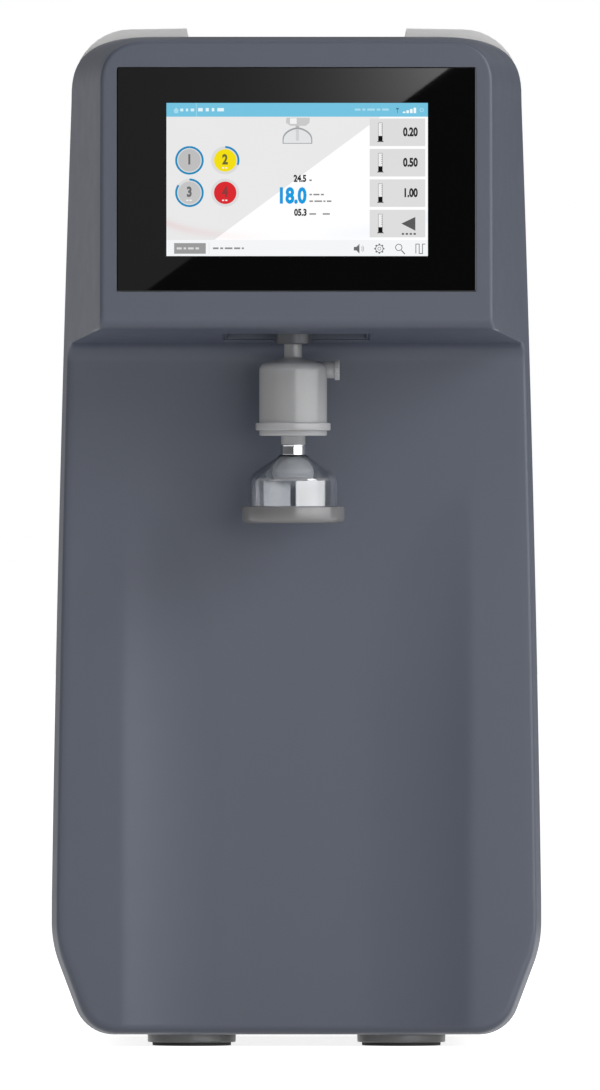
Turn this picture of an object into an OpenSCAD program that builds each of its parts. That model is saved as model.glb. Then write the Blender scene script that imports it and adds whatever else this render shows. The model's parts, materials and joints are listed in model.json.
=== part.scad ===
// Bench-top ultrapure water system. Millimetres, +Z up, front towards -Y,
// origin at the centre of the footprint on the bench.

/* [Overall] */
// Depth from the screen face to the rear connectors
depth = 480; // [476:2:490]
// Height of the dark front shell
shell_top = 599.1; // [596:0.5:602]
// Half width of the shell at its widest point, just above the base
half_low = 145.6; // [143:0.2:147]
// Half width of the shell where the side would meet the top
half_top = 132.6; // [131:0.2:134]
// Half width of the flat screen face
half_face = 115.4; // [113:0.2:117]
// How far the shell's long sides belly out between base and top
side_bow = 1.3; // [0:0.1:2]
// Height of the case bottom above the bench
case_bottom = 7; // [7:1:9]
// Wall of the moulded front shell
shell_wall = 3.5; // [3:0.25:4]
// Wall of the light rear covers and the base
cover_wall = 3; // [2.5:0.25:3.5]

/* [Head and lower front] */
// Depth of the head at its sides, from screen face to parting line
head_depth = 112; // [110:1:114]
// How far the lower front lies behind the screen face
overhang = 99; // [96:1:100]
// Depth of the dished recess at the foot of the lower front
recess_depth = 7; // [4:0.5:8]
// Half width of the dished recess
recess_half = 102; // [98:1:108]

/* [Screen] */
// Width of the cover glass
glass_w = 211.5; // [205:0.5:212]
// Height of the cover glass
glass_h = 132; // [126:0.5:133]
// Width of the lit display
display_w = 154; // [150:0.5:156]
// Height of the lit display
display_h = 90; // [86:0.5:92]

/* [Dispensing nozzle] */
// Radius of the filter capsule
capsule_r = 20.1; // [19:0.1:21]
// Radius of the clear bell at its mouth
bell_r = 26.35; // [25:0.1:27]
// Outer radius of the guard ring round the bell
band_r = 30.5; // [29.5:0.1:31]

/* [Feet] */
// Distance of each foot from the centre plane
foot_x = 62.3; // [58:0.5:66]
// Radius of the foot cup
cup_r = 26.2; // [24:0.2:27]
// Radius of the foot pad
pad_r = 23.4; // [22:0.2:24]

/* [Purification] */
// Radius of a treatment cartridge
cartridge_r = 52; // [48:1:53]
// Radius of a cartridge neck
neck_r = 20; // [19:0.5:21]
// Radius of the plastic tubing
tube_r = 3.2; // [3:0.1:3.4]

/* [Hidden] */

// Colours
slate = "#5c606b";
shade_slate = "#43464f";
light_grey = "#d6d7d4";
black = "#232427";
cup_grey = "#4a4a4b";
capsule_grey = "#9a9a9c";
clear = [0.86, 0.88, 0.90, 0.45];
smoke = [0.62, 0.63, 0.65, 0.6];
white_plastic = "#ececea";
steel = "#b9bcc0";
blue = "#3f7fb4";
green = "#2f6b46";

// Planes along Y
face_y = -depth / 2;              // screen face
front_y = face_y + overhang;      // cheeks of the lower front
seam_y = face_y + head_depth;     // rear rim of the front shell
bulk_t = 3;
bulk_y = seam_y + bulk_t;         // rear face of the front bulkhead
back_y = depth / 2 - 15;          // outer face of the rear panel
panel_t = 3;
inner_back = back_y - panel_t;

// Shell outline, seen from the front
bottom_corner = [125, case_bottom];
widest = [half_low, 62];
top_x = 58;                       // reach of the superelliptic top corner along X
top_z = 40;                       // and along Z
corner_power = 3.1;
face_top = shell_top - 4.3;
face_corner_x = 32;
face_corner_z = 27;
face_power = 2.6;

// Underside of the head: a line that falls towards the back
under_front = 424.8;
under_slope = 0.0838;
under_round = 12;                 // fillet to the lower front
head_round = 7;                   // fillet to the face of the head

slack = 0.05;                     // radial running clearance

function unit(v) = v / norm(v);

// Points on the arc of radius r that rounds corner b of the path a, b, c.
function rounded(a, b, c, r, steps) =
    let (u = unit(a - b), v = unit(c - b), half = acos(u * v) / 2,
         centre = b + unit(u + v) * r / sin(half),
         p = b + u * r / tan(half) - centre,
         q = b + v * r / tan(half) - centre,
         sweep = 180 - 2 * half)
    [for (i = [0:steps])
        centre + (p * sin((1 - i / steps) * sweep) + q * sin(i / steps * sweep)) / sin(sweep)];

// Points on a superelliptic corner whose square tip is at (x, z).
function super_corner(x, z, a, b, power, steps) =
    [for (i = [0:steps]) let (t = 90 * i / steps)
        [x - a + a * pow(cos(t), 2 / power), z - b + b * pow(sin(t), 2 / power)]];

function side_x(z, low, top) = low[0] + (top[0] - low[0]) * (z - low[1]) / (top[1] - low[1]);

// Right half of a shell outline from the bottom to the top, inset by w. The bow fades out at the top corner.
function half_outline(base, low, top, a, b, power, rows, w, bow = 0) =
    let (base_in = base + [-w * 0.7, w], low_in = low - [w, 0], top_in = top - [w, w],
         shoulder = side_x(top_in[1] - b + w, low_in, top_in), straight = top[1] - b - low[1])
    concat(
        rounded([0, base_in[1]], base_in, low_in, 24 - w, 4),
        rounded(base_in, low_in, top_in, 70 - w, 3),
        [for (p = rows) let (s = (p[1] - low[1]) / straight)
            [side_x(p[1], low_in, top_in) + 4 * bow * s * (1 - s), p[1]]],
        super_corner(shoulder, top_in[1], a - w, b - w, power, 7));

// Front profile in the YZ plane between base and top corner, from low to high, inset by w.
function under_z(y) = under_front - under_slope * (y - face_y);
function front_profile(w) =
    let (rise = w * sqrt(1 + pow(under_slope, 2)), lift = w == 0 ? 0 : rise,
         foot = [front_y + w, 80],
         inner = [front_y + w, under_z(front_y + w) + lift],
         outer = [face_y + w, under_z(face_y + w) + lift],
         head = [face_y + w, 548])
    concat(
        [for (z = [90:48:378]) [front_y + w, z]],
        rounded(foot, inner, outer, under_round + w, 5),
        rounded(inner, outer, head, head_round - w, 5),
        [[face_y + w, 500], [face_y + w, 548]]);

function rear_outline(w) =
    half_outline(bottom_corner, widest, [half_top, shell_top], top_x, top_z, corner_power, front_profile(w), w,
        side_bow);
function face_outline(w) =
    half_outline([100, case_bottom + 9], [half_face + 1, 62], [half_face, face_top],
        face_corner_x, face_corner_z, face_power, front_profile(w), w);

// The recess deepens downwards from recess_top and is dished across its width.
recess_top = 372;
recess_full = 146;
function ease(t) = let (u = min(max(t, 0), 1)) u * u * (3 - 2 * u);
function recess(x, z) =
    recess_depth * ease((recess_top - z) / (recess_top - recess_full))
        * (1 - pow(min(abs(x) / recess_half, 1), 4));

// Columns across the front, as fractions of the half width
half_columns = [0.16, 0.32, 0.46, 0.58, 0.67, 0.755, 1];
columns = concat([for (i = [len(half_columns) - 1:-1:0]) -half_columns[i]], [0], half_columns);

// Points of the front surface, row by row from the bottom, and of the rear rim behind its border.
function front_rows(w) =
    let (rear = rear_outline(w), face = face_outline(w), mid = front_profile(w),
         corner_rows = 9, top_start = corner_rows + len(mid))
    [for (i = [0:len(rear) - 1])
        let (y = i < corner_rows ? front_y + w : i < top_start ? mid[i - corner_rows][0] : face_y + w,
             t = (y - face_y) / head_depth,
             edge = face[i] + (rear[i] - face[i]) * t)
        [for (u = columns) [u * edge[0], y + recess(u * edge[0], edge[1]), edge[1]]]];

function border(n, m) = concat(
    [for (j = [0:m - 1]) [0, j]],
    [for (i = [1:n - 1]) [i, m - 1]],
    [for (j = [m - 2:-1:0]) [n - 1, j]],
    [for (i = [n - 2:-1:1]) [i, 0]]);

function quad(a, b, c, d) = [[a, b, c], [a, c, d]];

module shell_body() {
    outer = front_rows(0);
    inner = front_rows(shell_wall);
    n = len(outer);
    m = len(columns);
    edge = border(n, m);
    k = len(edge);
    rear = rear_outline(0);
    rear_in = rear_outline(shell_wall);
    points = concat(
        [for (row = outer) each row],
        [for (row = inner) each row],
        [for (e = edge) [columns[e[1]] * rear[e[0]][0], seam_y, rear[e[0]][1]]],
        [for (e = edge) [columns[e[1]] * rear_in[e[0]][0], seam_y, rear_in[e[0]][1]]]);
    size = n * m;
    out_rim = 2 * size;
    in_rim = out_rim + k;
    faces = concat(
        [for (i = [0:n - 2]) for (j = [0:m - 2])
            each quad(i * m + j, (i + 1) * m + j, (i + 1) * m + j + 1, i * m + j + 1)],
        [for (i = [0:n - 2]) for (j = [0:m - 2])
            each quad(size + i * m + j, size + i * m + j + 1, size + (i + 1) * m + j + 1, size + (i + 1) * m + j)],
        [for (q = [0:k - 1]) let (r = (q + 1) % k, a = edge[q][0] * m + edge[q][1], b = edge[r][0] * m + edge[r][1])
            each quad(a, b, out_rim + r, out_rim + q)],
        [for (q = [0:k - 1]) let (r = (q + 1) % k, a = edge[q][0] * m + edge[q][1], b = edge[r][0] * m + edge[r][1])
            each quad(size + b, size + a, in_rim + q, in_rim + r)],
        [for (q = [0:k - 1]) let (r = (q + 1) % k)
            each quad(out_rim + q, out_rim + r, in_rim + r, in_rim + q)]);
    polyhedron(points, faces);
}

// Extrudes an XZ outline from y0 to y1.
module along_y(y0, y1) translate([0, y1, 0]) rotate([90, 0, 0]) linear_extrude(y1 - y0) children();

// Solid or hollow cylinder along Y, starting at p.
module rod_y(p, r, length) translate(p) rotate([-90, 0, 0]) cylinder(r = r, h = length, $fn = 64);
module rod_x(p, r, length) translate(p) rotate([0, 90, 0]) cylinder(r = r, h = length, $fn = 64);
module rod_z(p, r, length) translate(p) cylinder(r = r, h = length, $fn = 64);
module tube_z(p, r, bore, length) difference() {
    rod_z(p, r, length);
    rod_z(p - [0, 0, 1], bore, length + 2);
}

// Box given by its low and high corners.
module block(low, high) translate(low) cube(high - low);

module mirrored() {
    children();
    mirror([1, 0, 0]) children();
}

function shell_polygon(w) =
    let (half = rear_outline(w), n = len(half))
    concat(half, [for (i = [n - 1:-1:0]) [-half[i][0], half[i][1]]]);

// Bosses and screws that hold the shell to the bulkhead: x, z and how far the boss runs forward.
shell_bosses = [[121, 536, 24], [129, 300, 10.5], [128, 92, 10.5]];
boss_r = 5.5;
screw_r = 2;

glass_t = 1.8;
glass_seat = 2.4;
glass_z = 512.95;
display_x = 0.4;
display_rim = 5;                  // frame of the display round its lit area
window = [display_w / 2 + display_rim + 1.5, display_h / 2 + display_rim + 2];
slot_x = 43;
slot_y0 = face_y + 32;
slot_y1 = face_y + 79;
nozzle_x = -2;
nozzle_y = face_y + 56;

module front_shell() color(slate) difference() {
    union() {
        shell_body();
        mirrored() for (b = shell_bosses)
            rod_y([b[0], seam_y - b[2], b[1]], boss_r, b[2]);
        // Web from the upper boss to the side wall
        mirrored() along_z(shell_bosses[0][1] - 2, shell_bosses[0][1] + 2)
            let (b = shell_bosses[0], outer = side_x(b[1], widest, [half_top, shell_top]),
                 reach = outer - (outer - half_face) * b[2] / head_depth)
            polygon([[b[0], seam_y - b[2]], [reach - 1.5, seam_y - b[2]], [outer - 1.5, seam_y], [b[0], seam_y]]);
        mirrored() for (z = board_zs)
            rod_y([board_x, face_y + shell_wall - 0.5, z], 4, board_y - face_y - shell_wall + 0.5);
    }
    block([-glass_w / 2 - 0.2, face_y - 1, glass_z - glass_h / 2 - 0.2],
        [glass_w / 2 + 0.2, face_y + glass_seat, glass_z + glass_h / 2 + 0.2]);
    block([-window[0], face_y, glass_z - window[1]], [window[0], face_y + shell_wall + 0.4, glass_z + window[1]]);
    block([-slot_x, slot_y0, 410], [slot_x, slot_y1, 432]);
    mirrored() for (b = shell_bosses)
        rod_y([b[0], seam_y - b[2] + 2, b[1]], screw_r + slack, b[2]);
    mirrored() for (z = board_zs)
        rod_y([board_x, board_y - 6, z], 1.5 + slack, 7);
}

// ---- Screen -------------------------------------------------------------

board_x = 92;
board_zs = [468, 556];
board_y = face_y + 16;

module touch_glass() color(black)
    block([-glass_w / 2, face_y, glass_z - glass_h / 2],
        [glass_w / 2, face_y + glass_t, glass_z + glass_h / 2]);

module glass_gasket() color("#1a1a1c") difference() {
    block([-glass_w / 2, face_y + glass_t, glass_z - glass_h / 2],
        [glass_w / 2, face_y + glass_seat, glass_z + glass_h / 2]);
    block([-window[0], face_y, glass_z - window[1]], [window[0], face_y + 5, glass_z + window[1]]);
}

module display_panel() color("#9fd4e6")
    block([display_x - display_w / 2 - display_rim, face_y + glass_t, glass_z - display_h / 2 - display_rim],
        [display_x + display_w / 2 + display_rim, face_y + glass_t + 6, glass_z + display_h / 2 + display_rim]);

module control_board() color(green) {
    difference() {
        block([-100, board_y, 460], [100, board_y + 1.6, 566]);
        mirrored() for (z = board_zs) rod_y([board_x, board_y - 1, z], 1.5 + slack, 4);
    }
    block([-60, board_y + 1.6, 480], [-36, board_y + 4.6, 504]);
    block([-38, board_y + 1.6, 536], [-18, board_y + 7.6, 543]);
    block([20, board_y + 1.6, 490], [38, board_y + 5.6, 508]);
    // Spacer block that carries the display
    block([-20, face_y + glass_t + 6, 500], [20, board_y, 526]);
}

module board_screws() color(steel) mirrored() for (z = board_zs) {
    rod_y([board_x, board_y - 5, z], 1.5, 7);
    rod_y([board_x, board_y + 1.6, z], 2.8, 1.8);
}

// ---- Nozzle -------------------------------------------------------------

pocket_ceiling = 432;

module nozzle_pocket() color(shade_slate) difference() {
    union() {
        // Wall that fills the slot and follows the slope of the underside
        along_x(-slot_x, slot_x) polygon([[slot_y0, under_z(slot_y0) + 1.2], [slot_y1, under_z(slot_y1) + 1.2],
            [slot_y1, 436], [slot_y0, 436]]);
        block([-slot_x - 6, slot_y0 - 4, 426.4], [slot_x + 6, slot_y1 + 4, 436]);
    }
    block([-slot_x + 2, slot_y0 + 2, 410], [slot_x - 2, slot_y1 - 2, pocket_ceiling]);
    rod_z([nozzle_x, nozzle_y, 430], 9 + slack, 10);
}

module nozzle_collar() color(shade_slate) translate([nozzle_x, nozzle_y, 0]) difference() {
    union() {
        rod_z([0, 0, 423.5], 9, 16.5);
        rod_z([0, 0, 422.4], 13.5, 1.1);
        rod_z([0, 0, 416.2], 10.75, 6.2);
    }
    rod_z([0, 0, 410], 5.35 + slack, 14);
    rod_z([0, 0, 410], 2.5, 40);
}

// Half profile of the capsule, spun about the nozzle axis
capsule_profile = concat(
    [[2, 356.8], [7.25, 356.8], [7.25, 362], [capsule_r, 362], [capsule_r, 365.2], [22.2, 365.2], [22.2, 369.7],
        [capsule_r, 369.7], [capsule_r, 400.5]],
    [for (t = [15:15:75]) [capsule_r - 5 + 5 * cos(t), 400.5 + 5 * sin(t)]],
    [[12, 406.3], [7, 407.6], [5.35, 407.6], [5.35, 422], [2, 422], [2, 404],
        [capsule_r - 1.6, 399], [capsule_r - 1.6, 363.6], [2, 363.6]]);

vent_z = 401;

module filter_capsule() color(capsule_grey) translate([nozzle_x, nozzle_y, 0]) difference() {
    union() {
        rotate_extrude($fn = 96) polygon(capsule_profile);
        rod_x([14.5, 0, vent_z], 5, 10);
    }
    rod_x([capsule_r - 3, 0, vent_z], 2 + slack, 10);
}

module capsule_membrane() color(white_plastic) translate([nozzle_x, nozzle_y, 0])
    tube_z([0, 0, 363.6], 14, 5, 34);

module vent_knob() color(capsule_grey) translate([nozzle_x, nozzle_y, 0]) {
    rod_x([24.5, 0, vent_z], 6.05, 3);
    rod_x([20, 0, vent_z], 2, 4.5);
}

module outlet_ring() color("#c8cacd") translate([nozzle_x, nozzle_y, 0])
    tube_z([0, 0, 350.8], 7.3, 3, 6);

bell_top = 350.8;
bell_shoulder = 335;
bell_end = 320.2;
bell_wall = 1.5;
// Flare of the bell: radius at a share t of the way down
function flare(t) = 8 + (bell_r - 8) * sin(90 * pow(t, 1.15));
flare_points = [for (i = [0:8]) let (t = i / 8) [flare(t), bell_top - t * (bell_top - bell_shoulder)]];

module dispense_bell() color(clear) translate([nozzle_x, nozzle_y, 0]) rotate_extrude($fn = 96)
    polygon(concat(
        [[3.1, bell_top]], flare_points, [[bell_r, bell_end], [bell_r - bell_wall, bell_end]],
        [for (i = [8:-1:1]) flare_points[i] - [bell_wall, 1.2]],
        [[3.1, bell_top - 1.5]]));

module bell_core() color("#8d8f93") translate([nozzle_x, nozzle_y, 0]) rotate_extrude($fn = 64)
    polygon([[2, 338], [11.5, 338], [12.4, 339.6], [12.2, 341.6], [10.9, 343.8], [8.6, 346.6],
        [7, 347.6], [3.1, 349], [3.1, 350.8], [2, 350.8]]);

module bell_band() color(smoke) translate([nozzle_x, nozzle_y, 0]) rotate_extrude($fn = 96)
    polygon([[24, bell_end], [band_r - 0.4, bell_end], [band_r, bell_end - 0.4], [band_r, 313.4],
        [band_r - 0.9, 311.1], [band_r - 3.2, 310.2], [24, 310.2]]);

module dispense_valve() color(white_plastic) translate([nozzle_x, nozzle_y, 0]) difference() {
    union() {
        block([-18, -16, 440], [18, 18, 462]);
        rod_y([0, 18, 451], 4.5, 8);
    }
    rod_z([0, 0, 430], 2.5, 22);
    rod_z([0, 0, 448], 6, 20);
    rod_y([0, 4, 451], 2.5, 30);
}

module valve_coil() color(black) translate([nozzle_x, nozzle_y, 0]) {
    tube_z([0, 0, 462], 15, 6, 34);
    rod_z([0, 0, 496], 15, 4);
}

module valve_plunger() color(steel) translate([nozzle_x, nozzle_y, 0])
    rod_z([0, 0, 452.2], 6 - slack, 38);

// ---- Cabinet ------------------------------------------------------------

gland = [[-62, 500], [-8, 580]];  // opening from cabinet to head, as x and z corners

module front_bulkhead() color(black) difference() {
    along_y(seam_y, bulk_y) polygon(shell_polygon(1.5));
    block([gland[0][0], seam_y - 1, gland[0][1]], [gland[1][0], bulk_y + 1, gland[1][1]]);
    mirrored() for (b = shell_bosses) rod_y([b[0], seam_y - 1, b[1]], screw_r + slack, 6);
}

module case_screws() color(steel) {
    mirrored() for (b = shell_bosses) {
        rod_y([b[0], bulk_y, b[1]], 3.6, 2.4);
        rod_y([b[0], bulk_y - 9, b[1]], screw_r, 9);
    }
    mirrored() for (z = [90, 330, 560]) rod_y([105, back_y, z], 3.6, 2);
}

tub_top = 66;
cover_inset = 1.5;
post_x = 120;
post_y = inner_back - 3.5;
panel_half = 111.5;
panel_low = 40;
panel_high = 588;

function tub_half(w) =
    let (base = bottom_corner - [cover_inset + w * 0.7, -w], low = widest - [cover_inset + w, 0],
         high = [low[0] - 0.1, tub_top + 20])
    concat(rounded([0, base[1]], base, low, 24 - w, 6), [low, [low[0] - 0.1, tub_top]]);

module base_tub() color(light_grey) difference() {
    outer = tub_half(0);
    inner = tub_half(cover_wall);
    union() {
        mirrored() along_y(bulk_y, back_y) polygon(concat([[0, case_bottom]], outer,
            [for (i = [len(inner) - 1:-1:0]) inner[i]], [[0, case_bottom + cover_wall]]));
        difference() {
            mirrored() along_y(inner_back, back_y) polygon(concat([[0, case_bottom]], outer, [[0, tub_top]]));
            block([-panel_half - 0.2, inner_back - 1, panel_low], [panel_half + 0.2, back_y + 1, 80]);
        }
        mirrored() block([post_x - 8, inner_back - 12, tub_top - 14], [138.5, inner_back + 0.5, tub_top - 2]);
    }
    for (x = [-foot_x, foot_x]) for (y = foot_ys) rod_z([x, y, 0], 2.5 + slack, 20);
}

tube_holes = [[-90, 41, 9], [160, 107, 10], [-34, 528, 5.5], [-70, 528, 5.5]];  // y, z, radius
module centre_frame() color(steel) difference() {
    block([-7, bulk_y, case_bottom + cover_wall], [-4, inner_back, panel_high]);
    for (h = tube_holes) rod_x([-10, h[0], h[1]], h[2], 10);
}

module top_panel() color(light_grey)
    block([-panel_half, bulk_y, panel_high], [panel_half, back_y, panel_high + cover_wall]);

inlet_c = [-60, 108];             // centre of the power inlet, as x and z
inlet_half = [24, 30];
fan_c = [-62, 470];
fan_r = 38;
fitting_xs = [40, 74];
fitting_z = 90;

module rear_panel() color(light_grey) difference() {
    block([-panel_half, inner_back, panel_low], [panel_half, back_y, panel_high]);
    block([inlet_c[0] - inlet_half[0], inner_back - 1, inlet_c[1] - inlet_half[1]],
        [inlet_c[0] + inlet_half[0], back_y + 1, inlet_c[1] + inlet_half[1]]);
    rod_y([fan_c[0], inner_back - 1, fan_c[1]], fan_r, 6);
    for (x = fitting_xs) rod_y([x, inner_back - 1, fitting_z], 8.1, 6);
    for (i = [0:7]) block([20, inner_back - 1, 430 + 12 * i], [92, back_y + 1, 434 + 12 * i]);
}

// Side cover: side wall, rounded shoulder and top return with an inner lip
cover_top = 603.1;
cover_side = 131.5;
cover_round = 34;
return_x = 65.2;

function cover_half(w) =
    let (low = [side_x(tub_top + 0.6, widest - [cover_inset, 0], [cover_side, cover_top]) - w, tub_top + 0.6],
         tip = [cover_side - w, cover_top - w], inner = [return_x, cover_top + 1 - w])
    concat([low], rounded(low, tip, inner, cover_round - w, 10));

cover_front = bulk_y + 1.5;
lug_r = 6;
pin_r = 3;
lugs = [[tub_top + 1, 73], [540, 546]];

module right_cover_shape() difference() {
    union() {
        along_y(cover_front, back_y) polygon(concat(
            cover_half(0), [[return_x, cover_top + 1], [return_x + 0.6, cover_top + 1 - cover_wall]],
            [for (i = [10:-1:0]) cover_half(cover_wall)[i + 1]], [cover_half(cover_wall)[0]]));
        // Lip at the inner end of the top return
        along_y(cover_front + 8, back_y)
            polygon([[return_x + 0.5, cover_top + 1 - cover_wall - 0.1], [return_x + 1.6, 593.4],
                [return_x + 4.6, 593.4], [return_x + 4.6, cover_top + 1 - cover_wall - 0.1]]);
        // Front flange that closes the sight gap over the shell's edge and clears the bulkhead as the cover opens
        difference() {
            along_y(cover_front, cover_front + 2.5)
                polygon(concat([[return_x, 540]], [for (i = [1:11]) cover_half(0)[i]], [[return_x, cover_top + 1]]));
            along_y(cover_front - 1, cover_front + 4) polygon(shell_polygon(0.5));
        }
        // Rear return, from the hinge line to the side wall
        along_y(inner_back, back_y) polygon(concat(
            [[post_x - 4.5, tub_top + 0.6]], cover_half(0.5), [[return_x + 4.6, cover_top - 1],
                [return_x + 4.6, 593.4], [post_x - 4.5, 593.4]]));
        for (z = lugs) along_z(z[0], z[1]) {
            translate([post_x, post_y]) circle(r = lug_r, $fn = 48);
            translate([post_x, post_y - lug_r]) square([z[0] < 100 ? 21.6 : 10.6, 2 * lug_r]);
        }
    }
    for (z = lugs) rod_z([post_x, post_y, z[0] - 1], pin_r + slack, z[1] - z[0] + 2);
    // Notch that the upper hinge bracket turns in
    block([post_x - 6, inner_back - 1, lugs[1][1] + 0.4], [post_x + 8, back_y + 1, lugs[1][1] + 16]);
}
module along_z(z0, z1) translate([0, 0, z0]) linear_extrude(z1 - z0) children();
// The polygon's first number is Y and its second is Z.
module along_x(x0, x1) translate([x0, 0, 0]) rotate([90, 0, 90]) linear_extrude(x1 - x0) children();

module right_cover() color(light_grey) right_cover_shape();
module left_cover() color(light_grey) mirror([1, 0, 0]) right_cover_shape();

module hinge_posts() color(steel) mirrored() {
    rod_z([post_x, post_y, tub_top - 2], pin_r, 16);
    block([panel_half - 14, inner_back - 9, lugs[1][1] + 2], [post_x + 4, inner_back, lugs[1][1] + 12]);
    rod_z([post_x, post_y, lugs[1][0] - 4], pin_r, 10);
}

module cover_catches() color(black) mirrored() for (z = [180, 470])
    let (wall = side_x(z + 22, widest, [cover_side, cover_top]) - cover_inset - cover_wall)
    block([wall - 16, bulk_y, z], [wall - 1, bulk_y + 12, z + 22]);

// ---- Feet ---------------------------------------------------------------

foot_ys = [seam_y + 34, back_y - 45];
pad_h = 2;

module at_feet() for (x = [-foot_x, foot_x]) for (y = foot_ys) translate([x, y, 0]) children();

module foot_cups() color(cup_grey) at_feet() difference() {
    rod_z([0, 0, pad_h], cup_r, case_bottom - pad_h);
    rod_z([0, 0, 0], 2.5 + slack, 10);
}
module foot_pads() color("#161616") at_feet() difference() {
    rod_z([0, 0, 0], pad_r, pad_h);
    rod_z([0, 0, -1], 5.5, 5);
}
module foot_screws() color(steel) at_feet() {
    rod_z([0, 0, 0.4], 4.5, pad_h - 0.4);
    rod_z([0, 0, pad_h], 2.5, 12);
}

// ---- Cartridges ---------------------------------------------------------

cartridge_x = 60;
cartridge_ys = [-58, 60];
socket_z = 505;
bayonet_turn = 60;

module cartridge_manifold() color(white_plastic) difference() {
    union() {
        block([-4, -118, socket_z], [112, 118, 548]);
        rod_x([-11, -34, 528], 4.5, 8);
        rod_x([-11, -70, 528], 4.5, 8);
    }
    for (y = cartridge_ys) {
        rod_z([cartridge_x, y, socket_z - 1], neck_r + slack, 28);
        rod_z([cartridge_x, y, socket_z + 8], neck_r + 6, 9);
        for (a = [0, 180]) translate([cartridge_x, y, 0]) rotate(a + bayonet_turn)
            block([neck_r - 2, -4.5, socket_z - 1], [neck_r + 5.5, 4.5, socket_z + 12]);
    }
    rod_x([-20, -34, 528], 2.5, 60);
    rod_x([-20, -70, 528], 2.5, 60);
}

// Ribbed cartridge, with its foot at z0 and two bayonet lugs on the neck
cartridge_low = 128;
function rib(z) = [[cartridge_r - 1.5, z], [cartridge_r, z + 2], [cartridge_r, z + 10], [cartridge_r - 1.5, z + 12]];
module cartridge(y) translate([cartridge_x, y, 0]) {
    rotate_extrude($fn = 96) polygon(concat(
        [[0, cartridge_low], [cartridge_r - 12, cartridge_low], [cartridge_r - 3, cartridge_low + 4],
            [cartridge_r - 1.5, cartridge_low + 14]],
        [for (z = [160:40:440]) each rib(z)],
        [[cartridge_r - 1.5, 474], [cartridge_r - 8, 486], [neck_r + 4, 494], [neck_r, 496],
            [neck_r, socket_z + 25], [4, socket_z + 25], [4, 500], [0, 500]]));
    for (a = [0, 180]) rotate(a) block([neck_r - 2, -4, socket_z + 9.5], [neck_r + 5, 4, socket_z + 15.5]);
}
module pretreatment_cartridge() color(blue) cartridge(cartridge_ys[0]);
module polishing_cartridge() color("#2f5f97") cartridge(cartridge_ys[1]);

// ---- Left bay: ultraviolet reactor, ultrafilter, sensors ------------------

uv_c = [-62, -70];
uv_r = 24;
uf_c = [-62, 10];
uf_r = 30;

module uv_reactor() color(steel) translate([uv_c[0], uv_c[1], 0]) tube_z([0, 0, 150], uv_r, uv_r - 1.5, 320);

module uv_caps() color(black) translate([uv_c[0], uv_c[1], 0]) {
    difference() {
        union() {
            rod_z([0, 0, 135], 27, 15);
            rod_z([0, 0, 126], 4.5, 9);
        }
        rod_z([0, 0, 120], 2.5, 40);
        rod_z([0, 0, 142], 8.1, 10);
    }
    difference() {
        union() {
            rod_z([0, 0, 470], 27, 20);
            rod_x([25, 0, 480], 4.5, 8);
        }
        rod_z([0, 0, 465], 8.1, 30);
        rod_x([10, 0, 480], 2.5, 30);
    }
}

module uv_lamp() color(clear) translate([uv_c[0], uv_c[1], 0]) {
    rod_z([0, 0, 143], 8, 350);
    rod_z([0, 0, 493], 10, 12);
}

module ultrafilter() color(white_plastic) translate([uf_c[0], uf_c[1], 0]) difference() {
    union() {
        rod_z([0, 0, 165], uf_r, 290);
        rod_z([0, 0, 150], uf_r + 4, 24);
        rod_z([0, 0, 446], uf_r + 4, 24);
        rod_z([0, 0, 141], 4.5, 10);
        rod_z([0, 0, 469], 4.5, 9);
        rod_y([0, 28, 190], 4.5, 14);
    }
    rod_z([0, 0, 130], 2.5, 30);
    rod_z([0, 0, 460], 2.5, 30);
    rod_y([0, 20, 190], 2.5, 40);
}

cell_c = [-40, 520];              // x and z of the sensing line under the head opening
module clip(c, r, z) difference() {
    union() {
        rod_z([c[0], c[1], z], r + 4, 12);
        block([c[0], c[1] - 12, z], [-7, c[1] + 12, z + 12]);
    }
    rod_z([c[0], c[1], z - 1], r, 14);
}
module pipe_clips() color(black) {
    for (z = [220, 400]) clip(uv_c, uv_r, z);
    for (z = [220, 400]) clip(uf_c, uf_r, z);
    difference() {
        block([cell_c[0], -61, cell_c[1] - 6], [-7, -50, cell_c[1] + 6]);
        rod_y([cell_c[0], -62, cell_c[1]], 11, 14);
    }
}

module resistivity_cell() color(steel) difference() {
    union() {
        rod_y([cell_c[0], -62, cell_c[1]], 11, 42);
        rod_y([cell_c[0], -68, cell_c[1]], 4.5, 54);
        rod_z([cell_c[0], -40, cell_c[1]], 5, 22);
    }
    rod_y([cell_c[0], -70, cell_c[1]], 2.5, 60);
}

module flow_sensor() color(black) difference() {
    union() {
        block([-56, -108, 504], [-7, -82, 536]);
        rod_y([cell_c[0], -114, cell_c[1]], 4.5, 38);
    }
    rod_y([cell_c[0], -120, cell_c[1]], 2.5, 60);
}

// ---- Pump ---------------------------------------------------------------

pump_c = [-66, 62];
pump_r = 31;

module pump_head() color(black) difference() {
    union() {
        rod_y([pump_c[0], -60, pump_c[1]], pump_r, 38);
        rod_y([pump_c[0], -68, pump_c[1]], 4.5, 9);
        rod_x([pump_c[0] + 28, -40, pump_c[1]], 4.5, 12);
    }
    rod_y([pump_c[0], -56, pump_c[1]], pump_r - 5, 31);
    rod_y([pump_c[0], -70, pump_c[1]], 2.5, 20);
    rod_y([pump_c[0], -30, pump_c[1]], 4 + slack, 10);
    rod_x([pump_c[0] + 20, -40, pump_c[1]], 2.5, 25);
}

module pump_motor() color(steel) difference() {
    rod_y([pump_c[0], -22, pump_c[1]], pump_r - 1, 88);
    rod_y([pump_c[0], -18, pump_c[1]], pump_r - 4, 80);
    rod_y([pump_c[0], -30, pump_c[1]], 4 + slack, 20);
}

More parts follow.
